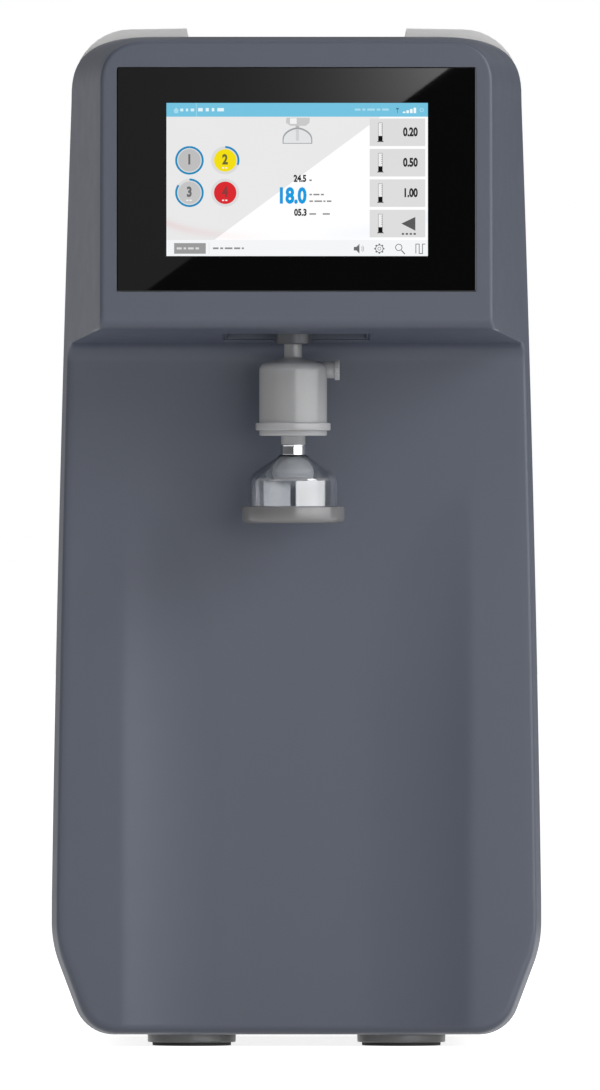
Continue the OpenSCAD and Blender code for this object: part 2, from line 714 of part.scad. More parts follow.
module pump_rotor() color("#8a8c90") {
    rod_y([pump_c[0], -50, pump_c[1]], 4, 108);
    rod_y([pump_c[0], -10, pump_c[1]], 22, 56);
    translate([pump_c[0], -50, pump_c[1]]) for (a = [0:60:300]) rotate([0, a, 0])
        block([-1.5, 0, 2], [1.5, 12, 23]);
}

module pump_cradle() color(black) difference() {
    for (y = [-6, 44]) block([pump_c[0] - 28, y, case_bottom + cover_wall], [pump_c[0] + 28, y + 14, 50]);
    rod_y([pump_c[0], -20, pump_c[1]], pump_r - 1, 100);
}

// ---- Electrics ----------------------------------------------------------

module power_supply() color(steel) {
    block([-104, 96, 18], [-20, 190, 62]);
    block([-98, 104, 62], [-84, 120, 68]);
    for (x = [-98, -26]) for (y = [104, 182]) rod_z([x, y, case_bottom + cover_wall], 4, 8);
}

module main_board() color(green) {
    block([-17, 110, 210], [-15.4, 208, 400]);
    for (y = [118, 200]) for (z = [218, 392]) rod_x([-15.4, y, z], 3, 8.4);
    block([-38, 118, 388], [-17, 140, 398]);
    block([-29, 150, 250], [-17, 190, 290]);
    block([-25, 120, 300], [-17, 150, 330]);
}

// Flat cable: a strip that follows the route at a constant thickness
ribbon_route = [[face_y + 23.6, 540], [face_y + 30, 540], [face_y + 34, 556], [face_y + 46, 566], [bulk_y + 10, 570],
    [90, 570], [118, 562], [129, 540], [129, 398]];
ribbon_t = 1;
function bisector(i) =
    let (n = len(ribbon_route) - 1,
         a = i > 0 ? unit(ribbon_route[i] - ribbon_route[i - 1]) : unit(ribbon_route[1] - ribbon_route[0]),
         b = i < n ? unit(ribbon_route[i + 1] - ribbon_route[i]) : a,
         m = unit(a + b))
    [-m[1], m[0]] * ribbon_t / 2 / (m * a);
module ribbon_cable() color("#c9cbd0")
    translate([-18, 0, 0]) rotate([90, 0, -90]) linear_extrude(20)
        polygon([for (p = concat(
            [for (i = [0:len(ribbon_route) - 1]) ribbon_route[i] + bisector(i)],
            [for (i = [len(ribbon_route) - 1:-1:0]) ribbon_route[i] - bisector(i)])) [-p[0], p[1]]]);

// ---- Tubing -------------------------------------------------------------

// Rounds the corners of a route with short curves, leaving its two ends straight.
function smooth(route) =
    let (last = len(route) - 1, head = route[0] + (route[1] - route[0]) * 0.4,
         tail = route[last] + (route[last - 1] - route[last]) * 0.4)
    concat([route[0], head],
        [for (i = [1:last - 1]) for (s = [0.12, 0.31, 0.5, 0.69, 0.88])
            let (start = i == 1 ? head : (route[i - 1] + route[i]) / 2,
                 stop = i == last - 1 ? tail : (route[i] + route[i + 1]) / 2)
            start * pow(1 - s, 2) + route[i] * 2 * s * (1 - s) + stop * s * s],
        [tail, route[last]]);

// Tube along a route: rings of eight points, each carried on from the one before.
function heading(path, i) =
    let (last = len(path) - 1)
    i < 2 ? unit(path[1] - path[0]) : i > last - 2 ? unit(path[last] - path[last - 1])
        : unit(path[i + 1] - path[i - 1]);
function carried(path, i, side) =
    let (d = heading(path, i)) unit(side - d * (side * d));
function sides(path, i = 0, side = [0.31, 0.52, 0.79]) =
    i == len(path) ? [] : let (s = carried(path, i, side)) concat([s], sides(path, i + 1, s));
module tube(route) {
    path = smooth(route);
    across = sides(path);
    n = len(path);
    ring = 8;
    points = [for (i = [0:n - 1]) let (d = heading(path, i), s = across[i], t = cross(d, s))
        for (k = [0:ring - 1]) path[i] + tube_r * (s * cos(360 * k / ring) + t * sin(360 * k / ring))];
    faces = concat(
        [[for (k = [0:ring - 1]) k]],
        [[for (k = [ring - 1:-1:0]) (n - 1) * ring + k]],
        [for (i = [0:n - 2]) for (k = [0:ring - 1]) let (next = (k + 1) % ring)
            each quad(i * ring + k, (i + 1) * ring + k, (i + 1) * ring + next, i * ring + next)]);
    polyhedron(points, faces);
}

fitting_in = inner_back - 17;
feed_route = [[fitting_xs[0], fitting_in, fitting_z], [fitting_xs[0], 160, fitting_z], [30, 60, 44], [24, -60, 40],
    [0, -93, 41], [-34, -93, 42], [-64, -88, 50], [pump_c[0], -84, 62], [pump_c[0], -68, pump_c[1]]];
pump_route = [[-26, -40, 62], [-18, -40, 62], [-17, -38, 78], [-17, -34, 120], [-18, -34, 500], [-18, -34, 528],
    [-11, -34, 528]];
uv_in_route = [[-11, -70, 528], [-20, -70, 528], [-21, -70, 504], [-20, -70, 480], [-29, -70, 480]];
uf_in_route = [[uv_c[0], uv_c[1], 126], [uv_c[0], uv_c[1], 110], [uv_c[0], -52, 104], [uv_c[0], -8, 108],
    [uf_c[0], uf_c[1], 120], [uf_c[0], uf_c[1], 141]];
drain_route = [[uf_c[0], 52, 190], [-62, 78, 190], [-58, 104, 150], [-40, 140, 112], [-6, 163, 106], [30, 172, 98],
    [60, 178, 92], [fitting_xs[1], 190, 90], [fitting_xs[1], fitting_in, fitting_z]];
cell_route = [[uf_c[0], uf_c[1], 478], [uf_c[0], uf_c[1], 500], [-60, 4, 516], [-48, -2, 520], [-40, -6, 520],
    [cell_c[0], -14, cell_c[1]]];
sensor_route = [[cell_c[0], -68, cell_c[1]], [cell_c[0], -72, cell_c[1]], [cell_c[0], -76, cell_c[1]]];
head_route = [[cell_c[0], -114, cell_c[1]], [-40, -132, 520], [-36, -150, 500], [-16, -156, 470],
    [nozzle_x, -147, 451], [nozzle_x, nozzle_y + 26, 451]];

module feed_tubes() color("#dfe8ee") {
    tube(feed_route);
    tube(pump_route);
}
module loop_tubes() color("#dfe8ee") {
    tube(uv_in_route);
    tube(uf_in_route);
    tube(drain_route);
}
module dispense_tubes() color("#dfe8ee") {
    tube(cell_route);
    tube(sensor_route);
    tube(head_route);
}

// ---- Rear connections ---------------------------------------------------

module bulkhead_fittings() color("#e4e5e2") for (x = fitting_xs) difference() {
    union() {
        rod_y([x, fitting_in, fitting_z], 8, back_y - fitting_in);
        translate([x, inner_back - 5, fitting_z]) rotate([-90, 0, 0]) cylinder(r = 12, h = 5, $fn = 6);
        rod_y([x, back_y, fitting_z], 11, 11);
    }
    rod_y([x, fitting_in - 1, fitting_z], 2.6, 60);
    rod_y([x, back_y - 8, fitting_z], 5.2 + slack, 30);
}

module collet(x) difference() {
    union() {
        rod_y([x, back_y - 5, fitting_z], 5.2, 17.5);
        rod_y([x, back_y + 12.5, fitting_z], 7.2, 2.5);
    }
    rod_y([x, back_y - 10, fitting_z], 3.25, 40);
}
module feed_collet() color(blue) collet(fitting_xs[0]);
module drain_collet() color("#c8574a") collet(fitting_xs[1]);

flange_t = 3;
module power_inlet() color(black) {
    c = inlet_c;
    difference() {
        union() {
            block([c[0] - 28, back_y, c[1] - 34], [c[0] + 28, back_y + flange_t, c[1] + 34]);
            block([c[0] - inlet_half[0] + 0.2, back_y - 32, c[1] - inlet_half[1] + 0.2],
                [c[0] + inlet_half[0] - 0.2, back_y, c[1] + inlet_half[1] - 0.2]);
        }
        // Socket, fuse drawer slot and switch well
        block([c[0] - 12.2, back_y - 16, c[1] - 11], [c[0] + 12.2, back_y + 5, c[1] + 6]);
        block([c[0] - 13.2, back_y - 26, c[1] - 26.2], [c[0] + 13.2, back_y + 5, c[1] - 15.8]);
        block([c[0] - 11, back_y - 16, c[1] + 11], [c[0] + 11, back_y + 5, c[1] + 26]);
    }
    for (p = [[-7, -4.5], [7, -4.5], [0, 0.5]])
        block([c[0] + p[0] - 1, back_y - 16.5, c[1] + p[1] - 2], [c[0] + p[0] + 1, back_y - 2, c[1] + p[1] + 2]);
}

rocker_y = back_y - 5.2;
rocker_z = inlet_c[1] + 18.5;
rocker_tilt = 12;
module rocker_switch() color("#202124") translate([inlet_c[0], rocker_y, rocker_z]) rotate([-rocker_tilt, 0, 0]) {
    rod_x([-10.6, 0, 0], 4, 21.2);
    block([-10.4, -1, -5.9], [10.4, 6.2, 5.9]);
}

module fuse_drawer() color("#303134") {
    c = inlet_c;
    difference() {
        block([c[0] - 13, back_y - 24, c[1] - 26], [c[0] + 13, back_y + flange_t, c[1] - 16]);
        for (s = [-1, 1]) block([c[0] + 6.5 * s - 4, back_y - 22, c[1] - 24], [c[0] + 6.5 * s + 4, back_y - 4, c[1] - 14]);
    }
    block([c[0] - 9, back_y + flange_t, c[1] - 22.5], [c[0] + 9, back_y + flange_t + 1.6, c[1] - 20.5]);
    for (s = [-1, 1]) rod_y([c[0] + 6.5 * s, back_y - 22, c[1] - 20.5], 2.5, 18);
}

fan_t = 25;
module fan_frame() color(black) difference() {
    union() {
        difference() {
            block([fan_c[0] - 40, inner_back - fan_t, fan_c[1] - 40], [fan_c[0] + 40, inner_back, fan_c[1] + 40]);
            rod_y([fan_c[0], inner_back - fan_t - 1, fan_c[1]], fan_r, fan_t + 2);
        }
        rod_y([fan_c[0], inner_back - fan_t, fan_c[1]], 17, 5);
        for (a = [45:90:315]) translate([fan_c[0], inner_back - fan_t, fan_c[1]]) rotate([0, a, 0])
            block([-2, 0, 15], [2, 4, 40]);
    }
    rod_y([fan_c[0], inner_back - fan_t - 1, fan_c[1]], 2.5 + slack, 8);
}

module fan_rotor() color("#2c2d30") translate([fan_c[0], 0, fan_c[1]]) {
    rod_y([0, inner_back - 19, 0], 17, 16);
    rod_y([0, inner_back - 24, 0], 2.5, 8);
    intersection() {
        union() for (a = [0:360 / 7:359]) rotate([0, a, 0])
            translate([0, inner_back - 11, 0]) rotate([0, 0, 38]) block([-9, -1, 14], [9, 1, 40]);
        rod_y([0, inner_back - 19, 0], 36.5, 16);
    }
}

module fan_guard() color(steel) translate([fan_c[0], back_y, fan_c[1]]) {
    for (r = [8:8:40]) rotate([-90, 0, 0]) rotate_extrude($fn = 72) translate([r, 0.2]) square([1.4, 1.6]);
    for (a = [45, 135]) rotate([0, a, 0]) block([-1, 0.2, -45], [1, 1.6, 45]);
    for (a = [45:90:315]) rotate([0, a, 0]) rod_y([0, 0, 46], 3.4, 2.4);
}

front_shell();
touch_glass();
glass_gasket();
display_panel();
control_board();
board_screws();
nozzle_pocket();
nozzle_collar();
filter_capsule();
capsule_membrane();
vent_knob();
outlet_ring();
dispense_bell();
bell_core();
bell_band();
dispense_valve();
valve_coil();
valve_plunger();
front_bulkhead();
case_screws();
base_tub();
centre_frame();
top_panel();
rear_panel();
left_cover();
right_cover();
hinge_posts();
cover_catches();
foot_cups();
foot_pads();
foot_screws();
cartridge_manifold();
pretreatment_cartridge();
polishing_cartridge();
uv_reactor();
uv_caps();
uv_lamp();
ultrafilter();
pipe_clips();
pump_head();
pump_motor();
pump_rotor();
pump_cradle();
resistivity_cell();
flow_sensor();
power_supply();
main_board();
ribbon_cable();
feed_tubes();
loop_tubes();
dispense_tubes();
bulkhead_fittings();
feed_collet();
drain_collet();
power_inlet();
rocker_switch();
fuse_drawer();
fan_frame();
fan_rotor();
fan_guard();
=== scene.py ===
"""Looks of a bench-top ultrapure water system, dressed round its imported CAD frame.

Sizes in the classes are millimetres in the frame of the part: +Z up, front towards -Y, origin at the
centre of the footprint. Meshes are worked out with numpy in millimetres and turned to metres on the
way into Blender.
"""

import json
import logging
import math
from dataclasses import dataclass, field
from enum import Enum

import bmesh
import bpy
import numpy as np
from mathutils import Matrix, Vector

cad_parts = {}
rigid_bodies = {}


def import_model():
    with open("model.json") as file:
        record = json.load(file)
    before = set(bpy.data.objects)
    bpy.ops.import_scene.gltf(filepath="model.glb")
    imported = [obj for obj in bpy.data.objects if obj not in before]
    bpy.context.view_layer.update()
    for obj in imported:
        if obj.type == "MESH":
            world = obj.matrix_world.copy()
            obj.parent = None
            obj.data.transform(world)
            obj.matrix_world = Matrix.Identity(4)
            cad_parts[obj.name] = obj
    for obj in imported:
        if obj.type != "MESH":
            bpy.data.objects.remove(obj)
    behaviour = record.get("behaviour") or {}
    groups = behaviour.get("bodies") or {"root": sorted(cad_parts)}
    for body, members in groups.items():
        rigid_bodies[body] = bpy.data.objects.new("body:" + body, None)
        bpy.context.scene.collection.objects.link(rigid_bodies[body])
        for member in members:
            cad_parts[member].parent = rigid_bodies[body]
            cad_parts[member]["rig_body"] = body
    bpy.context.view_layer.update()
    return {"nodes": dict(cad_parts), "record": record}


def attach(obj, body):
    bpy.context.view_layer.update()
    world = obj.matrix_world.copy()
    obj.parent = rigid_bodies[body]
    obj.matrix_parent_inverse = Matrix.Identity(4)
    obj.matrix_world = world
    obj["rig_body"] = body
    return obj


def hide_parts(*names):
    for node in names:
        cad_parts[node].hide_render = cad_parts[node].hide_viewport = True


Array = np.ndarray
Spot = tuple[float, float, float]
Colour = tuple[float, float, float, float]
Pair = tuple[float, float]
Cells = tuple[int, int, int, int]
Flutes = tuple[int, float, float, float]
Tree = bpy.types.NodeTree
Socket = bpy.types.NodeSocket
MM = 0.001
WELD_MM = 0.002
LOG = logging.getLogger("water_system")


class Axis(Enum):
    """Axis that a turned shape goes round, or that a plate is thin along."""

    X = 0
    Y = 1
    Z = 2


# ---- Colour and nodes ---------------------------------------------------


def linear(colour: str) -> Colour:
    """Turns an sRGB hex colour to linear.

    Args:
        colour: "#rrggbb".

    Returns:
        Red, green, blue and alpha for a socket.
    """
    srgb = np.array([int(colour[i : i + 2], 16) for i in (1, 3, 5)]) / 255
    flat = np.where(srgb <= 0.04045, srgb / 12.92, ((srgb + 0.055) / 1.055) ** 2.4)
    return (float(flat[0]), float(flat[1]), float(flat[2]), 1.0)


def shade(colour: str, gain: float, lift: float = 0.0) -> Colour:
    """The linear colour scaled and then lifted, with white as its limit."""
    red, green, blue = (min(1.0, c * gain + lift) for c in linear(colour)[:3])
    return (red, green, blue, 1.0)


def add_node(tree: Tree, kind: str, settings: dict | None = None,
             links: dict | None = None) -> bpy.types.Node:
    """Adds a node with its settings and incoming links.

    Args:
        tree: The node tree.
        kind: The node's type name without the "ShaderNode" in front.
        settings: Values by property name, or by input name or number.
        links: Output sockets by input name or number.

    Returns:
        The node.
    """
    node = tree.nodes.new("ShaderNode" + kind)
    for key, value in (settings or {}).items():
        if isinstance(key, str) and hasattr(node, key):
            setattr(node, key, value)
        else:
            node.inputs[key].default_value = value
    for key, socket in (links or {}).items():
        tree.links.new(socket, node.inputs[key])
    return node


def per_metre(size_mm: float) -> float:
    """Scale of a texture on Object coordinates whose features are size_mm apart."""
    return 1000.0 / size_mm


def put(name: str, data: bpy.types.ID) -> bpy.types.Object:
    """Makes an object of a mesh, lamp or camera and links it to the scene."""
    thing = bpy.data.objects.new(name, data)
    bpy.context.scene.collection.objects.link(thing)
    return thing


def blank_material(name: str) -> bpy.types.Material:
    """A material whose node tree is still empty."""
    material = bpy.data.materials.new(name)
    material.use_nodes = True
    material.node_tree.nodes.clear()
    return material


@dataclass(frozen=True)
class Finish:
    """A material made of nodes: its real name, its colour and how it was made."""

    name: str
    colour: str
    roughness: float = 0.5

    def nodes(self, tree: Tree, where: Socket) -> Socket:
        """Makes the surface nodes. Each kind of finish has its own."""
        raise NotImplementedError

    def build(self) -> bpy.types.Material:
        """Makes the material once and gives the same one afterwards.

        Returns:
            The material.
        """
        if self.name in bpy.data.materials:
            return bpy.data.materials[self.name]
        material = blank_material(self.name)
        material.diffuse_color = linear(self.colour)
        tree = material.node_tree
        where = add_node(tree, "TexCoord").outputs["Object"]
        surface = self.nodes(tree, where)
        add_node(tree, "OutputMaterial", links={"Surface": surface})
        return material


@dataclass(frozen=True)
class Moulded(Finish):
    """Injection-moulded plastic: an eroded mould leaves a fine even grain and a satin gloss."""

    grain_mm: float = 0.7
    grain: float = 0.12
    tint: float = 0.03
    gloss_swing: float = 0.06
    edge: float = 0.0
    ior: float = 1.5
    through: float = 0.0
    scatter_mm: float = 0.0

    def nodes(self, tree: Tree, where: Socket) -> Socket:
        """Base colour with slow mottling, roughness with handling marks, and grain as bump."""
        cloud = add_node(tree, "TexNoise", {"Scale": per_metre(60), "Detail": 3.0}, {"Vector": where})
        tone = add_node(tree, "Mix", {"data_type": "RGBA", 6: shade(self.colour, 1 - self.tint),
                                      7: shade(self.colour, 1 + self.tint)},
                        {0: cloud.outputs["Fac"]}).outputs[2]
        if self.edge:
            point = add_node(tree, "NewGeometry").outputs["Pointiness"]
            worn = add_node(tree, "MapRange", {"From Min": 0.52, "From Max": 0.62, "To Max": self.edge},
                            {"Value": point})
            tone = add_node(tree, "Mix", {"data_type": "RGBA", 7: shade(self.colour, 1.5, 0.02)},
                            {0: worn.outputs[0], 6: tone}).outputs[2]
        marks = add_node(tree, "TexNoise", {"Scale": per_metre(14), "Detail": 5.0}, {"Vector": where})
        rough = add_node(tree, "MapRange", {"To Min": self.roughness - self.gloss_swing,
                                            "To Max": self.roughness + self.gloss_swing},
                         {"Value": marks.outputs["Fac"]})
        pits = add_node(tree, "TexNoise", {"Scale": per_metre(self.grain_mm), "Detail": 2.0,
                                           "Roughness": 0.6}, {"Vector": where})
        bump = add_node(tree, "Bump", {"Strength": self.grain, "Distance": 0.05 * MM * self.grain_mm / 0.7},
                        {"Height": pits.outputs["Fac"]})
        shader = add_node(tree, "BsdfPrincipled", {"IOR": self.ior, "Transmission Weight": self.through,
                                                   "Subsurface Weight": 0.8 if self.scatter_mm else 0.0,
                                                   "Subsurface Radius": (1, 1, 1),
                                                   "Subsurface Scale": self.scatter_mm * MM},
                          {"Base Color": tone, "Roughness": rough.outputs[0], "Normal": bump.outputs[0]})
        return shader.outputs[0]


@dataclass(frozen=True)
class Coated(Finish):
    """Powder-coated sheet: baked powder flows into a low orange peel with a soft gloss."""

    peel_mm: float = 2.2

    def nodes(self, tree: Tree, where: Socket) -> Socket:
        """An even colour with a trace of dust, peel as bump and a thin clear skin."""
        dust = add_node(tree, "TexNoise", {"Scale": per_metre(120), "Detail": 4.0}, {"Vector": where})
        colour = add_node(tree, "Mix", {"data_type": "RGBA", 6: shade(self.colour, 0.94),
                                        7: linear(self.colour)}, {0: dust.outputs["Fac"]})
        peel = add_node(tree, "TexNoise", {"Scale": per_metre(self.peel_mm), "Detail": 1.0},
                        {"Vector": where})
        bump = add_node(tree, "Bump", {"Strength": 0.16, "Distance": 0.06 * MM},
                        {"Height": peel.outputs["Fac"]})
        rough = add_node(tree, "MapRange", {"To Min": self.roughness - 0.05,
                                            "To Max": self.roughness + 0.05},
                         {"Value": dust.outputs["Fac"]})
        shader = add_node(tree, "BsdfPrincipled", {},
                          {"Base Color": colour.outputs[2], "Roughness": rough.outputs[0],
                           "Normal": bump.outputs[0]})
        return shader.outputs[0]


@dataclass(frozen=True)
class Metal(Finish):
    """Bare metal whose tool marks run one way: long across one axis and fine along the others."""

    grain_mm: tuple[float, float, float] = (0.35, 0.35, 30.0)
    streak: float = 0.1

    def nodes(self, tree: Tree, where: Socket) -> Socket:
        """Streaks from a stretched noise drive the tone, the roughness and the bump."""
        scale = tuple(per_metre(g) for g in self.grain_mm)
        drawn = add_node(tree, "Mapping", {"Scale": scale}, {"Vector": where})
        lines = add_node(tree, "TexNoise", {"Scale": 1.0, "Detail": 3.0}, {"Vector": drawn.outputs[0]})
        tone = add_node(tree, "Mix", {"data_type": "RGBA", 6: shade(self.colour, 1 - self.streak),
                                      7: linear(self.colour)}, {0: lines.outputs["Fac"]})
        rough = add_node(tree, "MapRange", {"To Min": self.roughness * 0.8, "To Max": self.roughness * 1.2},
                         {"Value": lines.outputs["Fac"]})
        bump = add_node(tree, "Bump", {"Strength": 0.05, "Distance": 0.01 * MM},
                        {"Height": lines.outputs["Fac"]})
        shader = add_node(tree, "BsdfPrincipled", {"Metallic": 1.0},
                          {"Base Color": tone.outputs[2], "Roughness": rough.outputs[0],
                           "Normal": bump.outputs[0]})
        return shader.outputs[0]


@dataclass(frozen=True)
class Clear(Finish):
    """Clear moulded plastic or drawn glass: light goes through, with flow lines and a few wipe marks."""

    ior: float = 1.49
    through: float = 1.0
    skin: float = 0.0

    def nodes(self, tree: Tree, where: Socket) -> Socket:
        """A transmitting body whose roughness and surface vary a little."""
        wipe = add_node(tree, "TexNoise", {"Scale": per_metre(18), "Detail": 4.0}, {"Vector": where})
        rough = add_node(tree, "MapRange", {"To Min": self.roughness * 0.6, "To Max": self.roughness * 1.4},
                         {"Value": wipe.outputs["Fac"]})
        flow = add_node(tree, "TexNoise", {"Scale": per_metre(9), "Detail": 1.0}, {"Vector": where})
        bump = add_node(tree, "Bump", {"Strength": 0.1, "Distance": 0.05 * MM},
                        {"Height": flow.outputs["Fac"]})
        shader = add_node(tree, "BsdfPrincipled", {"Base Color": linear(self.colour), "IOR": self.ior,
                                                   "Transmission Weight": self.through,
                                                   "Coat Weight": self.skin, "Coat Roughness": 0.02,
                                                   "Coat IOR": 1.9},
                          {"Roughness": rough.outputs[0], "Normal": bump.outputs[0]})
        return shader.outputs[0]


@dataclass(frozen=True)
class Board(Finish):
    """Glass-epoxy circuit board: green resist over copper tracks, with the weave faint under it."""

    def nodes(self, tree: Tree, where: Socket) -> Socket:
        """Cells with straight sides read as tracks, and a fine check as the weave."""
        cells = add_node(tree, "TexVoronoi", {"distance": "MANHATTAN", "Scale": per_metre(5.0)},
                         {"Vector": where})
        track = add_node(tree, "MapRange", {"From Min": 0.42, "From Max": 0.5},
                         {"Value": cells.outputs["Distance"]})
        tone = add_node(tree, "Mix", {"data_type": "RGBA", 6: linear(self.colour),
                                      7: shade(self.colour, 1.9, 0.01)}, {0: track.outputs[0]})
        weave = add_node(tree, "TexChecker", {"Scale": per_metre(0.8)}, {"Vector": where})
        bump = add_node(tree, "Bump", {"Strength": 0.1, "Distance": 0.03 * MM},
                        {"Height": weave.outputs["Fac"]})
        shader = add_node(tree, "BsdfPrincipled", {"Roughness": self.roughness},
                          {"Base Color": tone.outputs[2], "Normal": bump.outputs[0]})
        return shader.outputs[0]


@dataclass(frozen=True)
class Ribbed(Finish):
    """Flat cable: parallel insulated wires side by side, read as fine ribs across the width."""

    pitch_mm: float = 1.27

    def nodes(self, tree: Tree, where: Socket) -> Socket:
        """Bands along X at the wire pitch drive the tone, as painted shade of the ribs, and the bump."""
        wires = add_node(tree, "TexWave", {"bands_direction": "X", "Scale": per_metre(self.pitch_mm) / 20},
                         {"Vector": where})
        # painted shade: the tone falls to 0.6 over part of each wire pitch, shading the ribs in the colour
        tone = add_node(tree, "Mix", {"data_type": "RGBA", 6: shade(self.colour, 0.6),
                                      7: linear(self.colour)}, {0: wires.outputs["Fac"]})
        bump = add_node(tree, "Bump", {"Strength": 0.5, "Distance": 0.2 * MM},
                        {"Height": wires.outputs["Fac"]})
        shader = add_node(tree, "BsdfPrincipled", {"Roughness": self.roughness},
                          {"Base Color": tone.outputs[2], "Normal": bump.outputs[0]})
        return shader.outputs[0]


@dataclass(frozen=True)
class Lit(Finish):
    """Picture on a lit display: each face glows in its own ink, under a slow faint haze."""

    def nodes(self, tree: Tree, where: Socket) -> Socket:
        """The ink attribute glows at its own level, and the base is black so that lamps add nothing."""
        ink = add_node(tree, "VertexColor", {"layer_name": "ink"})
        haze = add_node(tree, "TexNoise", {"Scale": per_metre(40), "Detail": 2.0}, {"Vector": where})
        level = add_node(tree, "MapRange", {"To Min": 0.985, "To Max": 1.015},
                         {"Value": haze.outputs["Fac"]})
        glow = add_node(tree, "Mix", {"data_type": "RGBA", "blend_type": "MULTIPLY", 0: 1.0},
                        {6: ink.outputs["Color"], 7: level.outputs[0]})
        shader = add_node(tree, "BsdfPrincipled", {"Base Color": (0, 0, 0, 1), "Roughness": 0.1,
                                                   "Specular IOR Level": 0.1, "Emission Strength": 1.0},
                          {"Emission Color": glow.outputs[2]})
        return shader.outputs[0]


# Moulded in an eroded tool: fine even grain, satin gloss, edges worn a little paler
SLATE_ABS = Moulded("moulded_slate_abs", "#555b6a", 0.42, edge=0.15)
# The same plastic off a plain tool face: flatter gloss
SLATE_POCKET = Moulded("moulded_slate_abs_inner", "#555b6a", 0.5)
# Turned on a lathe: smooth, with a tight highlight
COLLAR = Moulded("turned_dark_acetal", "#4e5056", 0.3, grain_mm=0.5)
# Moulded in a coarser tool: broad soft sheen
LIGHT_COVER = Moulded("moulded_light_grey_abs", "#f8f8f7", 0.45, grain_mm=0.9)
# Baked powder: low orange peel, even tone
LIGHT_SHEET = Coated("powder_coated_light_steel", "#cfd0cd", 0.42)
# Zinc dip on rolled sheet: cloudy dull sheen without direction
CHASSIS = Metal("zinc_plated_sheet", "#b4b7bb", 0.38, (18.0, 18.0, 18.0))
# Float glass printed black behind: mirror gloss over a depthless black
BLACK_GLASS = Moulded("back_printed_glass", "#060607", 0.008, grain=0.0, tint=0.1,
                      gloss_swing=0.003, ior=1.52)
# Cut from foam: open pores, no gloss
GASKET = Moulded("closed_cell_foam", "#17181a", 0.85, grain_mm=0.4, grain=0.5)
# Plain injection moulding: even satin
DISPLAY_CAN = Moulded("display_housing", "#2a2b2d", 0.5)
# Backlit cells: flat even glow
PICTURE = Lit("lit_display_picture", "#ffffff")
# Etched and coated: glossy resist over raised tracks
PCB = Board("glass_epoxy_board", "#1d5236", 0.4)
# Rolled and plated: bright, with small even marks
SCREW = Metal("zinc_plated_screw", "#c3c6ca", 0.25, (0.4, 0.4, 0.4))
# Moulded unfilled and thin: smooth skin, light spreads inside the wall
CAPSULE = Moulded("translucent_polypropylene", "#c4c5c7", 0.16, grain=0.03, gloss_swing=0.02, ior=1.36,
                  scatter_mm=8)
# Folded paper-like membrane: matt and pale
MEMBRANE = Moulded("pleated_membrane", "#e4e3de", 0.7)
# Polished, then chromed: a near mirror
CHROME = Metal("chromed_brass", "#d6d8dc", 0.08, (6.0, 6.0, 6.0), 0.03)
# Moulded clear with a hard coat: sharp bright reflections
BELL = Clear("hard_coated_clear_polycarbonate", "#eceef0", 0.03, ior=1.58, skin=0.3)
# Plain injection moulding: satin
CORE = Moulded("grey_polypropylene", "#c6c8cc", 0.35)
# Cast soft ring: smooth skin, a little light passes
BAND = Moulded("smoked_silicone_ring", "#8f8f91", 0.2, grain=0.03, gloss_swing=0.03, ior=1.55, through=0.15)
# Injection mouldings: unfilled ones satin, glass-filled ones coarser and duller
WHITE = Moulded("white_polypropylene", "#e6e6e3", 0.42)
BLACK = Moulded("black_glass_filled_nylon", "#222326", 0.5, grain_mm=0.9, grain=0.2)
# Fired and glazed: very fine grain, soft gloss
CERAMIC = Moulded("fired_white_ceramic", "#ece9e1", 0.3, grain=0.05)
# Transfer-moulded epoxy: fine dull grain
CHIP = Moulded("moulded_black_epoxy", "#202124", 0.45, grain_mm=0.4)
# Deep-drawn: marks run along the can
CAN = Metal("drawn_aluminium_can", "#c9ccd0", 0.3, (0.4, 0.4, 8.0))
# Potted: liquid-smooth skin
COIL = Moulded("black_epoxy_coil", "#1c1d1f", 0.35, grain=0.05)
# Moulded in a polished tool: smooth, clear highlight
CUP = Moulded("moulded_grey_foot_cup", "#8f9092", 0.35)
# Vulcanised in a mould: dull, with a fine tooth
RUBBER = Moulded("black_rubber", "#151516", 0.75, grain_mm=0.5, grain=0.3)
# Moulded, coloured through: satin
BLUE_BODY = Moulded("blue_polypropylene", "#3f7fb4", 0.38)
DEEP_BLUE = Moulded("deep_blue_polypropylene", "#2f5f97", 0.38)
# Brushed round the tube: fine rings across its length
STAINLESS = Metal("brushed_stainless", "#b8babd", 0.28, (30.0, 30.0, 0.3))
# Drawn from the melt: fire-smooth, clear
LAMP_GLASS = Clear("quartz_lamp_sleeve", "#e8eef4", 0.02, ior=1.46)
# Spun in a polished tool: smooth ivory gloss
FILTER_BODY = Moulded("white_polysulfone", "#e2e2dc", 0.35, grain=0.05)
# Sprayed and baked: faint peel
MOTOR = Coated("painted_motor_case", "#8f9296", 0.4)
# Extruded wires side by side: ribs
GREY_CABLE = Ribbed("flat_cable_insulation", "#b9bcc1", 0.5)
# Extruded: milky, long soft highlights
TUBE = Clear("polyethylene_tube", "#dfe8ee", 0.25, through=0.35)
# Turned or moulded small parts: smooth, tight highlights
FITTING = Moulded("acetal_fitting", "#dcddd9", 0.32, grain=0.05)
FEED_RING = Moulded("blue_acetal_ring", "#2f6fb2", 0.32, grain=0.05)
DRAIN_RING = Moulded("red_acetal_ring", "#c14a3d", 0.32, grain=0.05)
BLACK_FAN = Moulded("black_fan_plastic", "#1e1f21", 0.42)
# Drawn wire, welded and chromed: bright lines
WIRE = Metal("chromed_wire", "#c6c9cd", 0.2, (5.0, 5.0, 5.0))
# Moulded in a mirror-polished tool: wet gloss
ROCKER = Moulded("glossy_black_rocker", "#191a1c", 0.25, grain=0.03)

